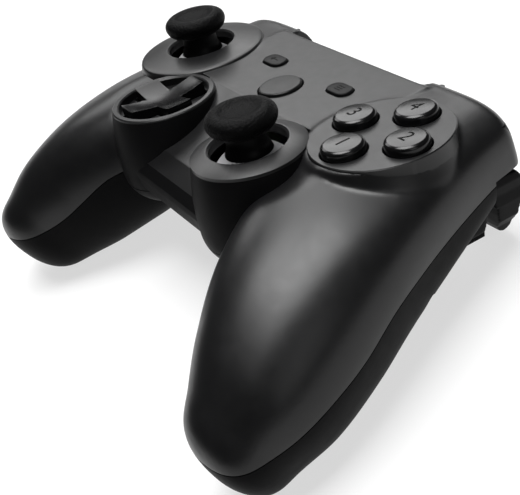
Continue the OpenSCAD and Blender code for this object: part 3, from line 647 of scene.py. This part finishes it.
# %% [markdown]
# ## Hollow it and part it
# The body is two shells of even wall, screwed together along a part line that runs diagonally
# down each grip. The inside is the body itself, shrunk by the wall. Where the shells carry
# something inside, the hollow is left standing: screw posts, cradles for the motors and stops
# for the bumper switches. The part line is a waving sheet, lifted or lowered by half the seam.

# %% Draw the part line
WALL, SEAM = 2.2, 0.3
# Each row: fore and aft place, height near the middle, height at the outside
PART_LINE = [
    (-70, -37, -39), (-57, -36.5, -39), (-50, -34, -38.5), (-45, -31, -38), (-40, -27.5, -36),
    (-35, -23.5, -34), (-29, -20, -32), (-21, -19, -30), (-8, -18, -24), (7, -16.5, -20.5),
    (19, -15.5, -18), (31, -14.5, -15.6), (60, -13.5, -14),
]
INNER, OUTER = 1, 2


def height_on(column, y):
    """Height in one column of the part line at a fore and aft place."""
    y = max(PART_LINE[0][0], min(PART_LINE[-1][0], y))
    for a, b in zip(PART_LINE, PART_LINE[1:]):
        if y <= b[0]:
            return a[column] + (b[column] - a[column]) * (y - a[0]) / (b[0] - a[0])


def part_height(x, y, ease=(-4, -2, 0, 2, 4)):
    """Height of the part line at a place on the deck, eased over its corners."""
    k = max(0, min(1, (abs(x) - 35) / 43))
    near = [height_on(INNER, y + d) * (1 - k) + height_on(OUTER, y + d) * k for d in ease]
    return sum(near) / len(near)


def part_tool(name, lift, pull):
    """Everything on one side of the part line."""
    bpy.ops.object.select_all(action="DESELECT")
    bpy.ops.mesh.primitive_grid_add(x_subdivisions=90, y_subdivisions=64, size=1)
    tool = bpy.context.object
    tool.name = name
    for corner in tool.data.vertices:
        x, y = 190 * corner.co.x, 130 * corner.co.y - 5
        corner.co = Vector((x, y, part_height(x, y) + lift)) * MM
    bpy.ops.object.mode_set(mode="EDIT")
    bpy.ops.mesh.select_all(action="SELECT")
    bpy.ops.mesh.extrude_region_move(TRANSFORM_OT_translate={"value": Vector((0, 0, pull)) * MM})
    bpy.ops.object.mode_set(mode="OBJECT")
    return tidy(tool)


# %% Draw what stands inside the shells
SHELL_SCREWS = [(65, -40), (63, 4), (-65, -40), (-63, 4)]
BOARD_SCREWS = [(27, 28.5), (-27, 28.5), (8, -19), (-8, -19)]
BOARD_Z = -16.5
MOTOR_AT, MOTOR_LENGTH, MOTOR_R = (55, -14, -28.5), 13, {1: 7.5, -1: 9}


def wrapped(name, pieces):
    """The tightest skin round several pieces."""
    piece = joined(name, pieces)
    bpy.ops.object.mode_set(mode="EDIT")
    bpy.ops.mesh.select_all(action="SELECT")
    bpy.ops.mesh.convex_hull()
    bpy.ops.object.mode_set(mode="OBJECT")
    return tidy(piece)


def across(piece):
    """Lays an upright piece down along the deck's sideways axis."""
    piece.data.transform(Matrix.Rotation(math.pi / 2, 4, "Y"))
    return piece


def along(piece):
    """Lays an upright piece down along the deck's fore and aft axis."""
    piece.data.transform(Matrix.Rotation(-math.pi / 2, 4, "X"))
    return piece


def cradle(side, offset):
    """A wall with a round seat that carries one end of a motor."""
    x, y, z = side * MOTOR_AT[0], MOTOR_AT[1] + offset, MOTOR_AT[2]
    wall = wrapped("cradle", [
        bar("seat", x - 8, x + 8, y, y + 2, -34, z),
        bar("foot", x - 8, x + 8, y - 1, y + 3, -60, -46),
    ])
    return cut(wall, along(post("motor_seat", x, -z, -60, 60, MOTOR_R[side] + 0.08)))


def rear_fittings():
    """Motor cradles and screw posts of the rear shell."""
    fittings = [cradle(side, offset) for side in (1, -1) for offset in (2 - MOTOR_LENGTH, -4)]
    for x, y in SHELL_SCREWS:
        fittings.append(post("screw_post", x, y, -60, part_height(x, y) - SEAM / 2, 4.2))
    return fittings


def front_fittings():
    """Screw posts and bumper stops of the front shell."""
    fittings = []
    for x, y in BOARD_SCREWS:
        fittings.append(wrapped("board_post", [
            post("stem", x, y, BOARD_Z, -1, 2.4),
            bar("rib", x - 3.4, x + 3.4, y - 0.7, y + 0.7, -5, -1),
        ]))
    for x, y in SHELL_SCREWS:
        fittings.append(post("screw_post", x, y, part_height(x, y) + SEAM / 2, 10, 3))
    for side in (1, -1):
        low, high = sorted((side * 41, side * 47))
        fittings.append(wrapped("bumper_stop", [
            bar("stop", low, high, 29.2, 31, -11.6, -6.6),
            bar("root", low, high, 28.4, 31, -5, -1),
        ]))
    return fittings


# %% Make the hollow and the two shells
BAY_X, BAY_FRONT, BAY_REAR, BAY_TOP = 29.5, -2, 30, BOX_Z + 17.2
hollow = copied(body, "hollow")
remesh(hollow, 2 * VOXEL)
use(hollow, "DISPLACE", strength=-WALL * MM, mid_level=0)
remesh(hollow, 2 * VOXEL)
even_out(hollow, 3)
cut(hollow, joined("bay_and_dish", [
    bar("bay_walls", -33, 33, BAY_FRONT - 2.2, 60, -80, BAY_TOP + 1.8),
    post("dish_floor", -LOWER[0], LOWER[1], DISH_Z - 1.6, 5, 13.4),
]))
front_hollow = copied(hollow, "front_hollow")
cut(front_hollow, joined("front_fittings", front_fittings()))
cut(hollow, joined("rear_fittings", rear_fittings()))
front_shell = copied(body, "front_shell_skin")
cut(front_shell, part_tool("above", SEAM / 2, 90), "INTERSECT")
cut(front_shell, front_hollow)
rear_shell = body
rear_shell.name = "rear_shell_skin"
cut(rear_shell, part_tool("below", -SEAM / 2, -90), "INTERSECT")
cut(rear_shell, hollow)
print("shell corners:", len(front_shell.data.vertices), len(rear_shell.data.vertices))

# %% [markdown]
# ## Openings
# Every opening in the deck has a small chamfer that catches the light as a thin ring, so each
# cutter is turned with that chamfer on it. The shoulders are cut open for the bumpers and the
# triggers, and the box for its battery door.

# %% Cut the openings of the deck
FACE_R, FACE_STEP, PLAY = 5.2, 10.1, 0.3
HOME_R, HOME_Y = 5.7, 12
SMALL_AT, PILL_HALF, PILL_R = (16, 20), 1.7, 2.5
FACE_AT = {
    "near": (0, -FACE_STEP), "right": (FACE_STEP, 0), "left": (-FACE_STEP, 0), "far": (0, FACE_STEP),
}
CROSS_HALF, ARM_HALF, CROSS_PLAY = 10.8, 3.5, 0.8


def hole(name, x, y, radius, bottom, top, chamfer):
    """A round cutter that widens into a chamfer at the surface."""
    wide = radius + chamfer
    return turned(name, [
        (0, bottom), (radius, bottom), (radius, top - chamfer),
        (wide, top), (wide, top + 4), (0, top + 4),
    ], x, y)


def pill(name, x, y, half, radius, bottom, top):
    """A slab with round ends."""
    turn = [math.radians(-90 + 180 * i / 16) for i in range(17)]
    ends = [(x + half + radius * math.cos(t), y + radius * math.sin(t), bottom) for t in turn]
    ends += [(x - half - radius * math.cos(t), y - radius * math.sin(t), bottom) for t in turn]
    return slab(name, ends, (0, 0, top - bottom))


def cross_slab(name, long, wide, bottom, top):
    """A slab in the shape of the direction cross."""
    arm, corners = [(long, -wide), (long, wide), (wide, wide)], []
    for _ in range(4):
        corners += arm
        arm = [(-y, x) for x, y in arm]
    return slab(name, [(x - LOWER[0], y + LOWER[1], bottom) for x, y in corners], (0, 0, top - bottom))


STICK_AT = {"left": (-UPPER[0], UPPER[1]), "right": LOWER}
openings = [hole("stick_hole", x, y, HOLE_R, -9, RIM_Z, 0.5) for x, y in STICK_AT.values()]
openings.append(hole("dish", -LOWER[0], LOWER[1], DISH_R, DISH_Z, 0.3, 0.35))
for x, y in FACE_AT.values():
    openings.append(hole("button_hole", UPPER[0] + x, UPPER[1] + y, FACE_R + PLAY, -4, DISC_Z, 0.2))
openings.append(hole("home_hole", 0, HOME_Y, HOME_R + PLAY, -4, 0, 0.25))
for side in (-1, 1):
    openings.append(pill("pill_hole", side * SMALL_AT[0], SMALL_AT[1], PILL_HALF, PILL_R + PLAY, -4, 4))
cut(front_shell, joined("openings", openings))
slot_long, slot_wide = CROSS_HALF + CROSS_PLAY, ARM_HALF + CROSS_PLAY
cut(front_shell, cross_slab("cross_slot", slot_long, slot_wide, DISH_Z - 4, 4))
print("front shell corners:", len(front_shell.data.vertices))

# %% Cut the rooms of the bumpers, triggers, screws and batteries
BUMPER_TOP, BUMPER_BOTTOM = -4.6, -13.8
PEG_AT, PEG_R = (33.6, 37.2), 1.2
PIN_R, TRIGGER_Y, TRIGGER_Z = 1.5, 28, -16
DOOR_T = 1.7
LUG_T, EYE_WALL = 2.2, 1.1


def side_bar(name, side, x0, x1, *rest):
    """A block on the right, or its mirror image on the left."""
    return bar(name, *sorted((side * x0, side * x1)), *rest)


def on_pin(name, x0, x1, radius):
    """A round bar along the pins of the triggers."""
    piece = across(post(name, 0, 0, x0, x1, radius))
    piece.data.transform(Matrix.Translation(Vector((0, TRIGGER_Y, TRIGGER_Z)) * MM))
    return piece


def lug(side, x):
    """A plate that carries one end of a trigger pin."""
    eye = on_pin("eye", *sorted((side * x, side * (x + LUG_T))), PIN_R + EYE_WALL)
    return wrapped("lug", [eye, side_bar("root", side, x, x + LUG_T, 22, 29, -31.5, -26)])


rooms = {
    "bumper_rooms": (SHOULDER_X - 0.6, 57.8, 34.2, 60, -14.6, BUMPER_TOP + 0.3),
    "trigger_rooms": (37.4, 62, 29.2, 60, -45, -14.4),
    "hub_rooms": (37.9, 46.4, 20, 60, -21.5, -11.5),
}
for shell in (front_shell, rear_shell):
    for name, size in rooms.items():
        cut(shell, joined(name, [side_bar(name, side, *size) for side in (-1, 1)]))
cut(front_shell, joined("bumper_pegs", [
    post("bumper_peg", side * PEG_AT[0], PEG_AT[1], BUMPER_BOTTOM + 1, -1.5, PEG_R)
    for side in (-1, 1)]), "UNION")
cut(rear_shell, joined("lugs", [lug(side, x) for side in (-1, 1) for x in (35.4, 52.3)]), "UNION")
cut(rear_shell, on_pin("pin_hole", -60, 60, PIN_R + 0.02))
seats = [(x, y, part_height(x, y, (0,))) for x, y in SHELL_SCREWS]
front_bores = [post("screw_bore", x, y, -60, seat + 8, 1.35) for x, y, seat in seats]
front_bores += [post("board_bore", x, y, -30, BOARD_Z + 7, 0.95) for x, y in BOARD_SCREWS]
cut(front_shell, joined("front_bores", front_bores))
cut(rear_shell, joined("rear_bores", [
    turned("screw_bore", [(0, -70), (3, -70), (3, seat - 6), (1.5, seat - 6), (1.5, 0), (0, 0)], x, y)
    for x, y, seat in seats]))
cut(rear_shell, bar("battery_bay", -BAY_X, BAY_X, BAY_FRONT, BAY_REAR, -80, BAY_TOP))
notches = [(0, 6.2, BAY_REAR - 1, BAY_REAR + 1.2), (-17, 4.2, BAY_FRONT - 1.2, BAY_FRONT + 1),
           (17, 4.2, BAY_FRONT - 1.2, BAY_FRONT + 1)]
cut(rear_shell, joined("notches", [
    bar("notch", x - half, x + half, y0, y1, -80, BOX_Z + DOOR_T + 0.02)
    for x, half, y0, y1 in notches]))
print("rear shell corners:", len(rear_shell.data.vertices))

# %% Finish the shells


def painted(piece, finish):
    """Gives a piece one finish all over."""
    piece.data.materials.clear()
    piece.data.materials.append(finish)
    return piece


# The walls of the turrets and the front of the chin take the darker, duller rear finish as painted shade, for the
# shade that falls on these walls, which face forward and down
SHADED_WALL_FROM, SHADED_WALL_TO, SHADED_CHIN_TOP = 13.4, 16.5, -10.9
painted(front_shell, SATIN).data.materials.append(REAR_SATIN_AND_WALL_SHADE)
for face in front_shell.data.polygons:
    x, y, z = face.center / MM
    shaded_wall_r = min(SHADED_WALL_TO, 14.4 - 0.19 * z)
    turret_wall_shade = SHADED_WALL_FROM < math.dist((abs(x), y), LOWER) < shaded_wall_r and z < -0.5
    chin_front_shade = abs(x) < LOWER[0] and z < SHADED_CHIN_TOP and y < -20
    # Faces in that shade take the darker rear finish: painted shade
    face.material_index = int(turret_wall_shade or chin_front_shade)
settle(front_shell, "pad", "front_shell", "front_shell", angle=35)
settle(painted(rear_shell, REAR_SATIN_AND_WALL_SHADE), "pad", "rear_shell", "rear_shell", angle=35)

# %% [markdown]
# ## Sticks
# A stick is a soft rubber cap on a hard black lever. The lever carries a dome that closes the hole
# however the stick leans. Its outer side is light grey, partly its own grey and partly painted light
# that makes up for the shade of the cap on it. All are turned.

# %% Turn the stick caps and the domes
CAP_BOTTOM, CAP_TOP, CAP_R = 5.1, 10.8, 8.7
DOME_R, DOME_T, STEM_TOP, STEM_R = 11.8, 0.8, 7.6, 3.5
cap_side = flowing([
    (5, CAP_BOTTOM), (6.6, 5.5), (7.9, 6.4), (8.55, 7.5), (CAP_R, 8.5), (8.4, 9.5), (7.6, 10.3),
    (6.6, 10.72), (5.7, CAP_TOP), (5, 10.6), (4.1, 10.25), (2.2, 9.9), (0, 9.8)])
seat_r, seat_z = STEM_R + 0.02, STEM_TOP + 0.02
cap_profile = [(0, seat_z), (seat_r, seat_z), (seat_r, CAP_BOTTOM), *cap_side]
dome_under = [(0, -2.7), (1.5, -2.7), (1.5, 6), (2.6, DOME_R - 0.9)]
arc = [math.radians(angle) for angle in range(18, 71, 3)]
dome_under += [((DOME_R - DOME_T) * math.sin(t), (DOME_R - DOME_T) * math.cos(t)) for t in arc]
dome_over = [(DOME_R * math.sin(t), DOME_R * math.cos(t)) for t in reversed(arc) if t > 0.5]
neck = flowing([dome_over[-1], (5.6, 11.2), (5.1, 12.4), (4.9, 14), (4.8, 15.5)])
stem = [(STEM_R, 15.55), (STEM_R, STEM_TOP - PIVOT_Z), (0, STEM_TOP - PIVOT_Z)]
lever_profile = [*dome_under, *dome_over, *neck, *stem]
lever_profile = [(radius, height + PIVOT_Z) for radius, height in lever_profile]
for hand, (x, y) in STICK_AT.items():
    cap = turned(hand + "_cap_rubber", cap_profile, x, y)
    settle(painted(cap, RUBBER), hand + "_stick", "stick_cap", hand + "_stick_cap", angle=50)
    lever = turned(hand + "_stick_dome", lever_profile, x, y)
    painted(lever, DULL).data.materials.append(DOME_GREY_AND_PAINTED_LIGHT)
    # The dome's outer side takes the light grey, which is partly painted light
    for face in lever.data.polygons:
        reach = face.center / MM - Vector((x, y, PIVOT_Z))
        face.material_index = int(abs(reach.length - DOME_R) < 0.05)
    settle(lever, hand + "_stick", "stick_dome", hand + "_stick_lever", angle=40)

# %% [markdown]
# ## Direction cross
# The cross is one smooth piece. Its arms rise from a shallow bowl in the middle, and their long
# edges are rounded. It is pulled from a flat cross, hollowed with a turned bowl and rounded with
# a Bevel modifier. Below the panel it has a flange, a socket for its ball and four feet on the
# membrane.

# %% Model the direction cross


def rounded(piece, width, segments):
    """Rounds the sharp edges of a piece by a width in millimetres."""
    return use(piece, "BEVEL", width=width * MM, segments=segments, limit_method="ANGLE",
               angle_limit=math.radians(50))


BALL_R, BALL_Z = 2.6, -8.3
cross_at = (-LOWER[0], LOWER[1])
cross = cross_slab("polished_cross", CROSS_HALF, ARM_HALF, -6.2, 1.7)
bowl = [(radius, -0.3 + 1.5 * (radius / CROSS_HALF) ** 2) for radius in (0, 2, 4, 6, 8, 10, 12)]
cut(cross, turned("bowl", [(0, 6), *bowl, (12, 6)], *cross_at, 144))
rounded(cross, 1.1, 4)
cut(cross, post("flange", *cross_at, -7, -5.2, 10.6), "UNION")
cut(cross, post("hub", *cross_at, BALL_Z + 0.4, -5, 4.4), "UNION")
for x, y in ((8, 0), (-8, 0), (0, 8), (0, -8)):
    cut(cross, post("foot", cross_at[0] + x, cross_at[1] + y, -12.9, -6, 1.6), "UNION")
socket_r = BALL_R + 0.03
socket = [(0, BALL_Z - 4), (socket_r, BALL_Z - 4)]
for step in range(18):
    t = math.radians(5 * step)
    socket.append((socket_r * math.cos(t), BALL_Z + socket_r * math.sin(t)))
socket.append((0, BALL_Z + socket_r))
cut(cross, turned("socket", socket, *cross_at))
settle(painted(cross, CROSS_BLACK), "direction_cross", "direction_cross", "direction_cross", angle=40)

# %% [markdown]
# ## Buttons
# The four face buttons are polished, with a nearly flat top and a crisp rim. They are alike, so one
# profile turns them all. Each carries a plain number in dull black ink, set a hair into the top:
# text made into a mesh, pulled through the top and trimmed to its surface. The home button lies
# nearly flush, and the back and menu buttons are small lozenges with plain marks.

# %% Turn the face buttons and set their numbers
FACE_TOP = 3.1
face_side = [
    *flowing([(FACE_R, 1.7), (5.13, 2.2), (4.85, 2.62), (4.4, 2.9)]),
    *flowing([(4.3, 2.93), (2.4, 3.05), (0, FACE_TOP)]),
]
ledge = DISC_Z - WALL
face_profile = [
    (0, -13), (3, -13), (3, ledge - 1.2), (FACE_R + 1, ledge - 1.2), (FACE_R + 1, ledge - 0.04),
    (FACE_R, ledge - 0.04), *face_side,
]


def number(name, sign, size, x, y):
    """A plain number that stands through the top of a button."""
    bpy.ops.object.select_all(action="DESELECT")
    bpy.ops.object.text_add()
    text = bpy.context.object
    text.data.body = sign
    text.data.size = size * MM
    text.data.align_x, text.data.align_y = "CENTER", "CENTER"
    text.data.extrude = 0.5 * MM
    bpy.ops.object.convert(target="MESH")
    piece = bpy.context.object
    piece.name = name
    piece.data.transform(Matrix.Translation(Vector((x, y, FACE_TOP - 0.3)) * MM))
    return tidy(piece)


for sign, (where, (x, y)) in zip("1234", FACE_AT.items()):
    x, y = UPPER[0] + x, UPPER[1] + y
    body_name = "face_button_" + where
    button = turned("polished_button_" + where, face_profile, x, y, 64)
    settle(painted(button, POLISHED), body_name, "face_button", body_name, angle=18)
    ink = number("number_" + where, sign, 5.4, x, y)
    skin = [(radius, height + 0.03) for radius, height in face_side]
    under = [(0, FACE_TOP - 0.6), (FACE_R, FACE_TOP - 0.6)]
    cut(ink, turned("skin", [*under, *skin[1:]], x, y, 64), "INTERSECT")
    settle(painted(ink, INK), body_name, "face_button")

# %% Turn the home button and pull the back and menu buttons
home = turned("home_disc", [
    (0, -13.6), (2, -13.6), (2, -3.3), (HOME_R + 1, -3.3), (HOME_R + 1, -WALL - 0.04),
    (HOME_R, -WALL - 0.04), *flowing([(HOME_R, 0.3), (5.6, 0.52), (5.3, 0.68), (4.8, 0.76), (0, 0.82)]),
], 0, HOME_Y)
settle(painted(home, HOME_BLACK), "home_button", "centre_button", "home_button", angle=40)
SMALL_TOP = 0.7
MARK_LOW, MARK_HIGH, STROKE_HALF = 0.3, SMALL_TOP + 0.03, 0.17


def stroke(x0, x1, y):
    """A short line of a mark."""
    return bar("stroke", x0, x1, y - STROKE_HALF, y + STROKE_HALF, MARK_LOW, MARK_HIGH)


for side, which in ((-1, "back"), (1, "menu")):
    x, y = side * SMALL_AT[0], SMALL_AT[1]
    button = pill(which + "_lozenge", x, y, PILL_HALF, PILL_R, -WALL - 0.5, SMALL_TOP)
    rounded(button, 0.45, 3)
    cut(button, pill("flange", x, y, PILL_HALF, PILL_R + 0.8, -WALL - 1.1, -WALL - 0.04), "UNION")
    cut(button, post("stem", x, y, -13.6, -WALL - 0.6, 1.6), "UNION")
    settle(painted(button, DULL), which + "_button", "centre_button", which + "_button", angle=40)
    if which == "menu":
        mark = [stroke(x - 1.2, x + 1.2, y + d) for d in (-0.8, 0, 0.8)]
    else:
        arrow = [(x - 1.9, y, MARK_LOW), (x - 0.6, y - 1, MARK_LOW), (x - 0.6, y + 1, MARK_LOW)]
        mark = [stroke(x - 0.8, x + 1.6, y), slab("arrow", arrow, (0, 0, MARK_HIGH - MARK_LOW))]
    settle(painted(joined(which + "_mark", mark), INK), which + "_button", "centre_button")

# %% [markdown]
# ## Bumpers and triggers
# A bumper goes on with the rounded end of the shoulder, so it is cut from a copy of the grip. A
# trigger is drawn from the side and pulled across, and a second outline from behind trims it to
# the width of its housing. Both are remeshed finely and smoothed, which rounds every edge as a
# mould does. The left ones are mirror images.

# %% Model the bumper
EDGE_VOXEL = 0.3
bumper = shoulder
cut(bumper, bar("bumper_part", SHOULDER_X + 0.6, 57.2, 35.4, 60, BUMPER_BOTTOM, BUMPER_TOP), "INTERSECT")
cut(bumper, bar("plunger", 42.5, 45.5, 35.1, 40, BUMPER_BOTTOM + 1.5, BUMPER_TOP - 1.5), "UNION")
for x0, x1 in ((38, 42.5), (45.5, 54)):
    cut(bumper, bar("inside", x0, x1, 30, 38.6, BUMPER_BOTTOM + 1.6, BUMPER_TOP - 1.6))
remesh(bumper, EDGE_VOXEL)
even_out(bumper, 4)
cut(bumper, post("peg_hole", *PEG_AT, -30, 10, PEG_R + 0.08))
bumper.name = "right_bumper_skin"
left_bumper = painted(mirrored(bumper, "left_bumper_skin"), SATIN)
settle(left_bumper, "left_bumper", "bumper", "left_bumper", angle=50)
settle(painted(bumper, SATIN), "right_bumper", "bumper", "right_bumper", angle=50)

# %% Model the trigger
finger_side = flowing([
    (36.8, -15.4), (38.7, -18.5), (39.4, -23), (39, -28.5), (39.6, -33.4), (39.1, -35.4), (37.8, -36.2)])
blade = [
    (32.6, -15.2), *finger_side, (36.4, -35.4), (35.2, -33.6), (34, -32), (33.2, -30), (32.4, -27),
    (31.8, -24), (32.6, -23.4),
]
cheek = [(29.7, -15.2), (33, -15.2), (33, -24), (31.1, -24), (30.6, -21.5), (30, -18.5)]
width = [
    (38, -10), (59.2, -10), (59.2, -17.5), (58, -20.5), (57.3, -24), (55.3, -29.5), (52, -33),
    (49.8, -37), (41.5, -37), (39, -31), (38, -24),
]
trigger = slab("right_trigger_skin", [(38, y, z) for y, z in blade], (22, 0, 0))
cut(trigger, slab("cheek", [(54.8, y, z) for y, z in cheek], (5.2, 0, 0)), "UNION")
cut(trigger, slab("width", [(x, 20, z) for x, z in width], (0, 40, 0)), "INTERSECT")
cut(trigger, bar("arm", 38.2, 46, TRIGGER_Y, 34.5, TRIGGER_Z - 2.6, TRIGGER_Z + 0.6), "UNION")
cut(trigger, on_pin("hub", 38.2, 46, PIN_R + EYE_WALL), "UNION")
remesh(trigger, EDGE_VOXEL)
even_out(trigger, 5)
cut(trigger, on_pin("bore", 30, 54.7, PIN_R + 0.05))
cut(trigger, slab("inside", [(40.5, y, z) for y, z in [
    (34.2, -22.5), (38, -22.5), (37.4, -28), (37.4, -32), (35.6, -30.5), (33.8, -27), (33, -24.5),
]], (10.5, 0, 0)))
left_trigger = painted(mirrored(trigger, "left_trigger_skin"), REAR_SATIN_AND_WALL_SHADE)
settle(left_trigger, "left_trigger", "trigger", "left_trigger", angle=50)
settle(painted(trigger, REAR_SATIN_AND_WALL_SHADE), "right_trigger", "trigger", "right_trigger", angle=50)

# %% [markdown]
# ## Battery door
# The door is a plate with a tongue behind, two lugs in front and two ribs inside that hold the
# cells down. Its plate, tongue and lugs are one outline, so that the Bevel modifier can round the
# outer edge in one go.

# %% Model the battery door
CELL_LOW = BOX_Z + 2.1
x0, y0, y1 = BAY_X - 0.2, BAY_FRONT + 0.2, BAY_REAR - 0.2
door = slab("battery_door_plate", [(x, y, BOX_Z) for x, y in [
    (-x0, y0), (-20.9, y0), (-20.9, y0 - 1.1), (-13.1, y0 - 1.1), (-13.1, y0),
    (13.1, y0), (13.1, y0 - 1.1), (20.9, y0 - 1.1), (20.9, y0), (x0, y0),
    (x0, y1), (5.9, y1), (5.9, y1 + 1.1), (-5.9, y1 + 1.1), (-5.9, y1), (-x0, y1),
]], (0, 0, DOOR_T))
rounded(door, 0.3, 3)
for x in (-17, 17):
    rib_low, rib_high = BOX_Z + DOOR_T - 0.2, CELL_LOW - 0.02
    rib = bar("rib", x - 0.8, x + 0.8, BAY_FRONT + 1, BAY_REAR - 1, rib_low, rib_high)
    cut(door, rib, "UNION")
settle(painted(door, REAR_SATIN_AND_WALL_SHADE), "battery_door", "battery_door", "battery_door", angle=40)

# %% [markdown]
# ## What is inside
# The cells, the board, the motors and the stick works keep their CAD shape, because that is what
# they are: cans, plates and blocks. They only need their finishes. Metals are brushed in one
# direction by stretching the noise, the board has fine copper traces under green lacquer, and
# the cells wear a plain jacket with a copper end.

# %% Mix the finishes of the inside


def metal(name, shade, roughness, stretch):
    """A drawn or plated metal, brushed along one direction."""
    finish = Finish(name)
    streaks = finish.noise(1.2, 4, finish.stretched(stretch))
    stained = tuple(0.8 * part for part in shade)
    bright = tuple(min(1, 1.2 * part) for part in shade)
    colour = finish.worn(finish.patches(5, shade, stained), bright)
    finish.shader.inputs["Metallic"].default_value = 1
    return finish.wear(colour, finish.spread(streaks, roughness - 0.07, roughness + 0.08), streaks, 0.01)


def lacquered_board(name):
    """Green lacquer over fine copper traces."""
    finish = Finish(name)
    traces = finish.tree.nodes.new("ShaderNodeTexBrick")
    traces.inputs["Scale"].default_value = 90
    traces.inputs["Mortar Size"].default_value = 0.03
    traces.inputs["Brick Width"].default_value = 0.8
    finish.tree.links.new(finish.place, traces.inputs["Vector"])
    lines = finish.spread(traces.outputs["Fac"], 0, 1, 0, 1)
    lacquer = finish.patches(8, (0.008, 0.09, 0.04), (0.012, 0.12, 0.055))
    colour = finish.worn(finish.mixed(lines, lacquer, (0.03, 0.2, 0.09)), (0.25, 0.2, 0.09))
    return finish.wear(colour, finish.spread(finish.noise(2, 3), 0.28, 0.4), traces.outputs["Fac"], 0.03)


def cell_jacket(name):
    """A plain green jacket that ends in a copper band."""
    finish = Finish(name)
    split = finish.tree.nodes.new("ShaderNodeSeparateXYZ")
    finish.tree.links.new(finish.place, split.inputs["Vector"])
    size = finish.tree.nodes.new("ShaderNodeMath")
    size.operation = "ABSOLUTE"
    finish.tree.links.new(split.outputs["X"], size.inputs[0])
    band = finish.spread(size.outputs["Value"], 0, 1, 0.0172, 0.0174)
    jacket = finish.patches(6, (0.03, 0.2, 0.09), (0.04, 0.24, 0.11))
    colour = finish.worn(finish.mixed(band, jacket, (0.5, 0.24, 0.1)), (0.6, 0.6, 0.6))
    finish.shader.inputs["Metallic"].default_value = 0.6
    return finish.wear(colour, finish.spread(finish.noise(1.5, 4), 0.25, 0.38), finish.noise(0.6, 3), 0.008)


INSIDE = {
    "cell": cell_jacket("cell_jacket"),
    "bright_steel": metal("bright_steel", (0.62, 0.63, 0.65), 0.25, (1, 6, 1)),
    "dark_steel": metal("dark_steel", (0.2, 0.2, 0.21), 0.38, (6, 6, 1)),
    "board": lacquered_board("lacquered_board"),
    "membrane": plastic("grey_silicone", (0.16, 0.17, 0.18), (0.2, 0.21, 0.22), 0.6, 0.6, 0.02, 0.4),
    "switch": plastic("switch_black", (0.04, 0.04, 0.044), (0.08, 0.08, 0.085), 0.45, 0.4, 0.01),
    "sensor": plastic("sensor_green", (0.05, 0.22, 0.12), (0.1, 0.3, 0.18), 0.42, 0.4, 0.01),
    "stick_frame": metal("pressed_frame", (0.45, 0.46, 0.48), 0.35, (1, 1, 5)),
    "inner_plastic": plastic("pale_slider", (0.55, 0.55, 0.52), (0.65, 0.65, 0.62), 0.4, 0.5, 0.008),
    "motor_can": metal("drawn_can", (0.55, 0.55, 0.57), 0.3, (1, 8, 1)),
    "motor_weight": metal("sintered_weight", (0.35, 0.35, 0.37), 0.5, (1, 1, 1)),
}

# %% Paint the pieces that keep their CAD shape
slot_of = {part["node"]: part["material_slot"] for part in frame["record"]["subparts"]}
for name, node in frame["nodes"].items():
    for place in node.material_slots:
        place.material = INSIDE.get(slot_of[name], SATIN)
print("CAD nodes painted:", len(frame["nodes"]))
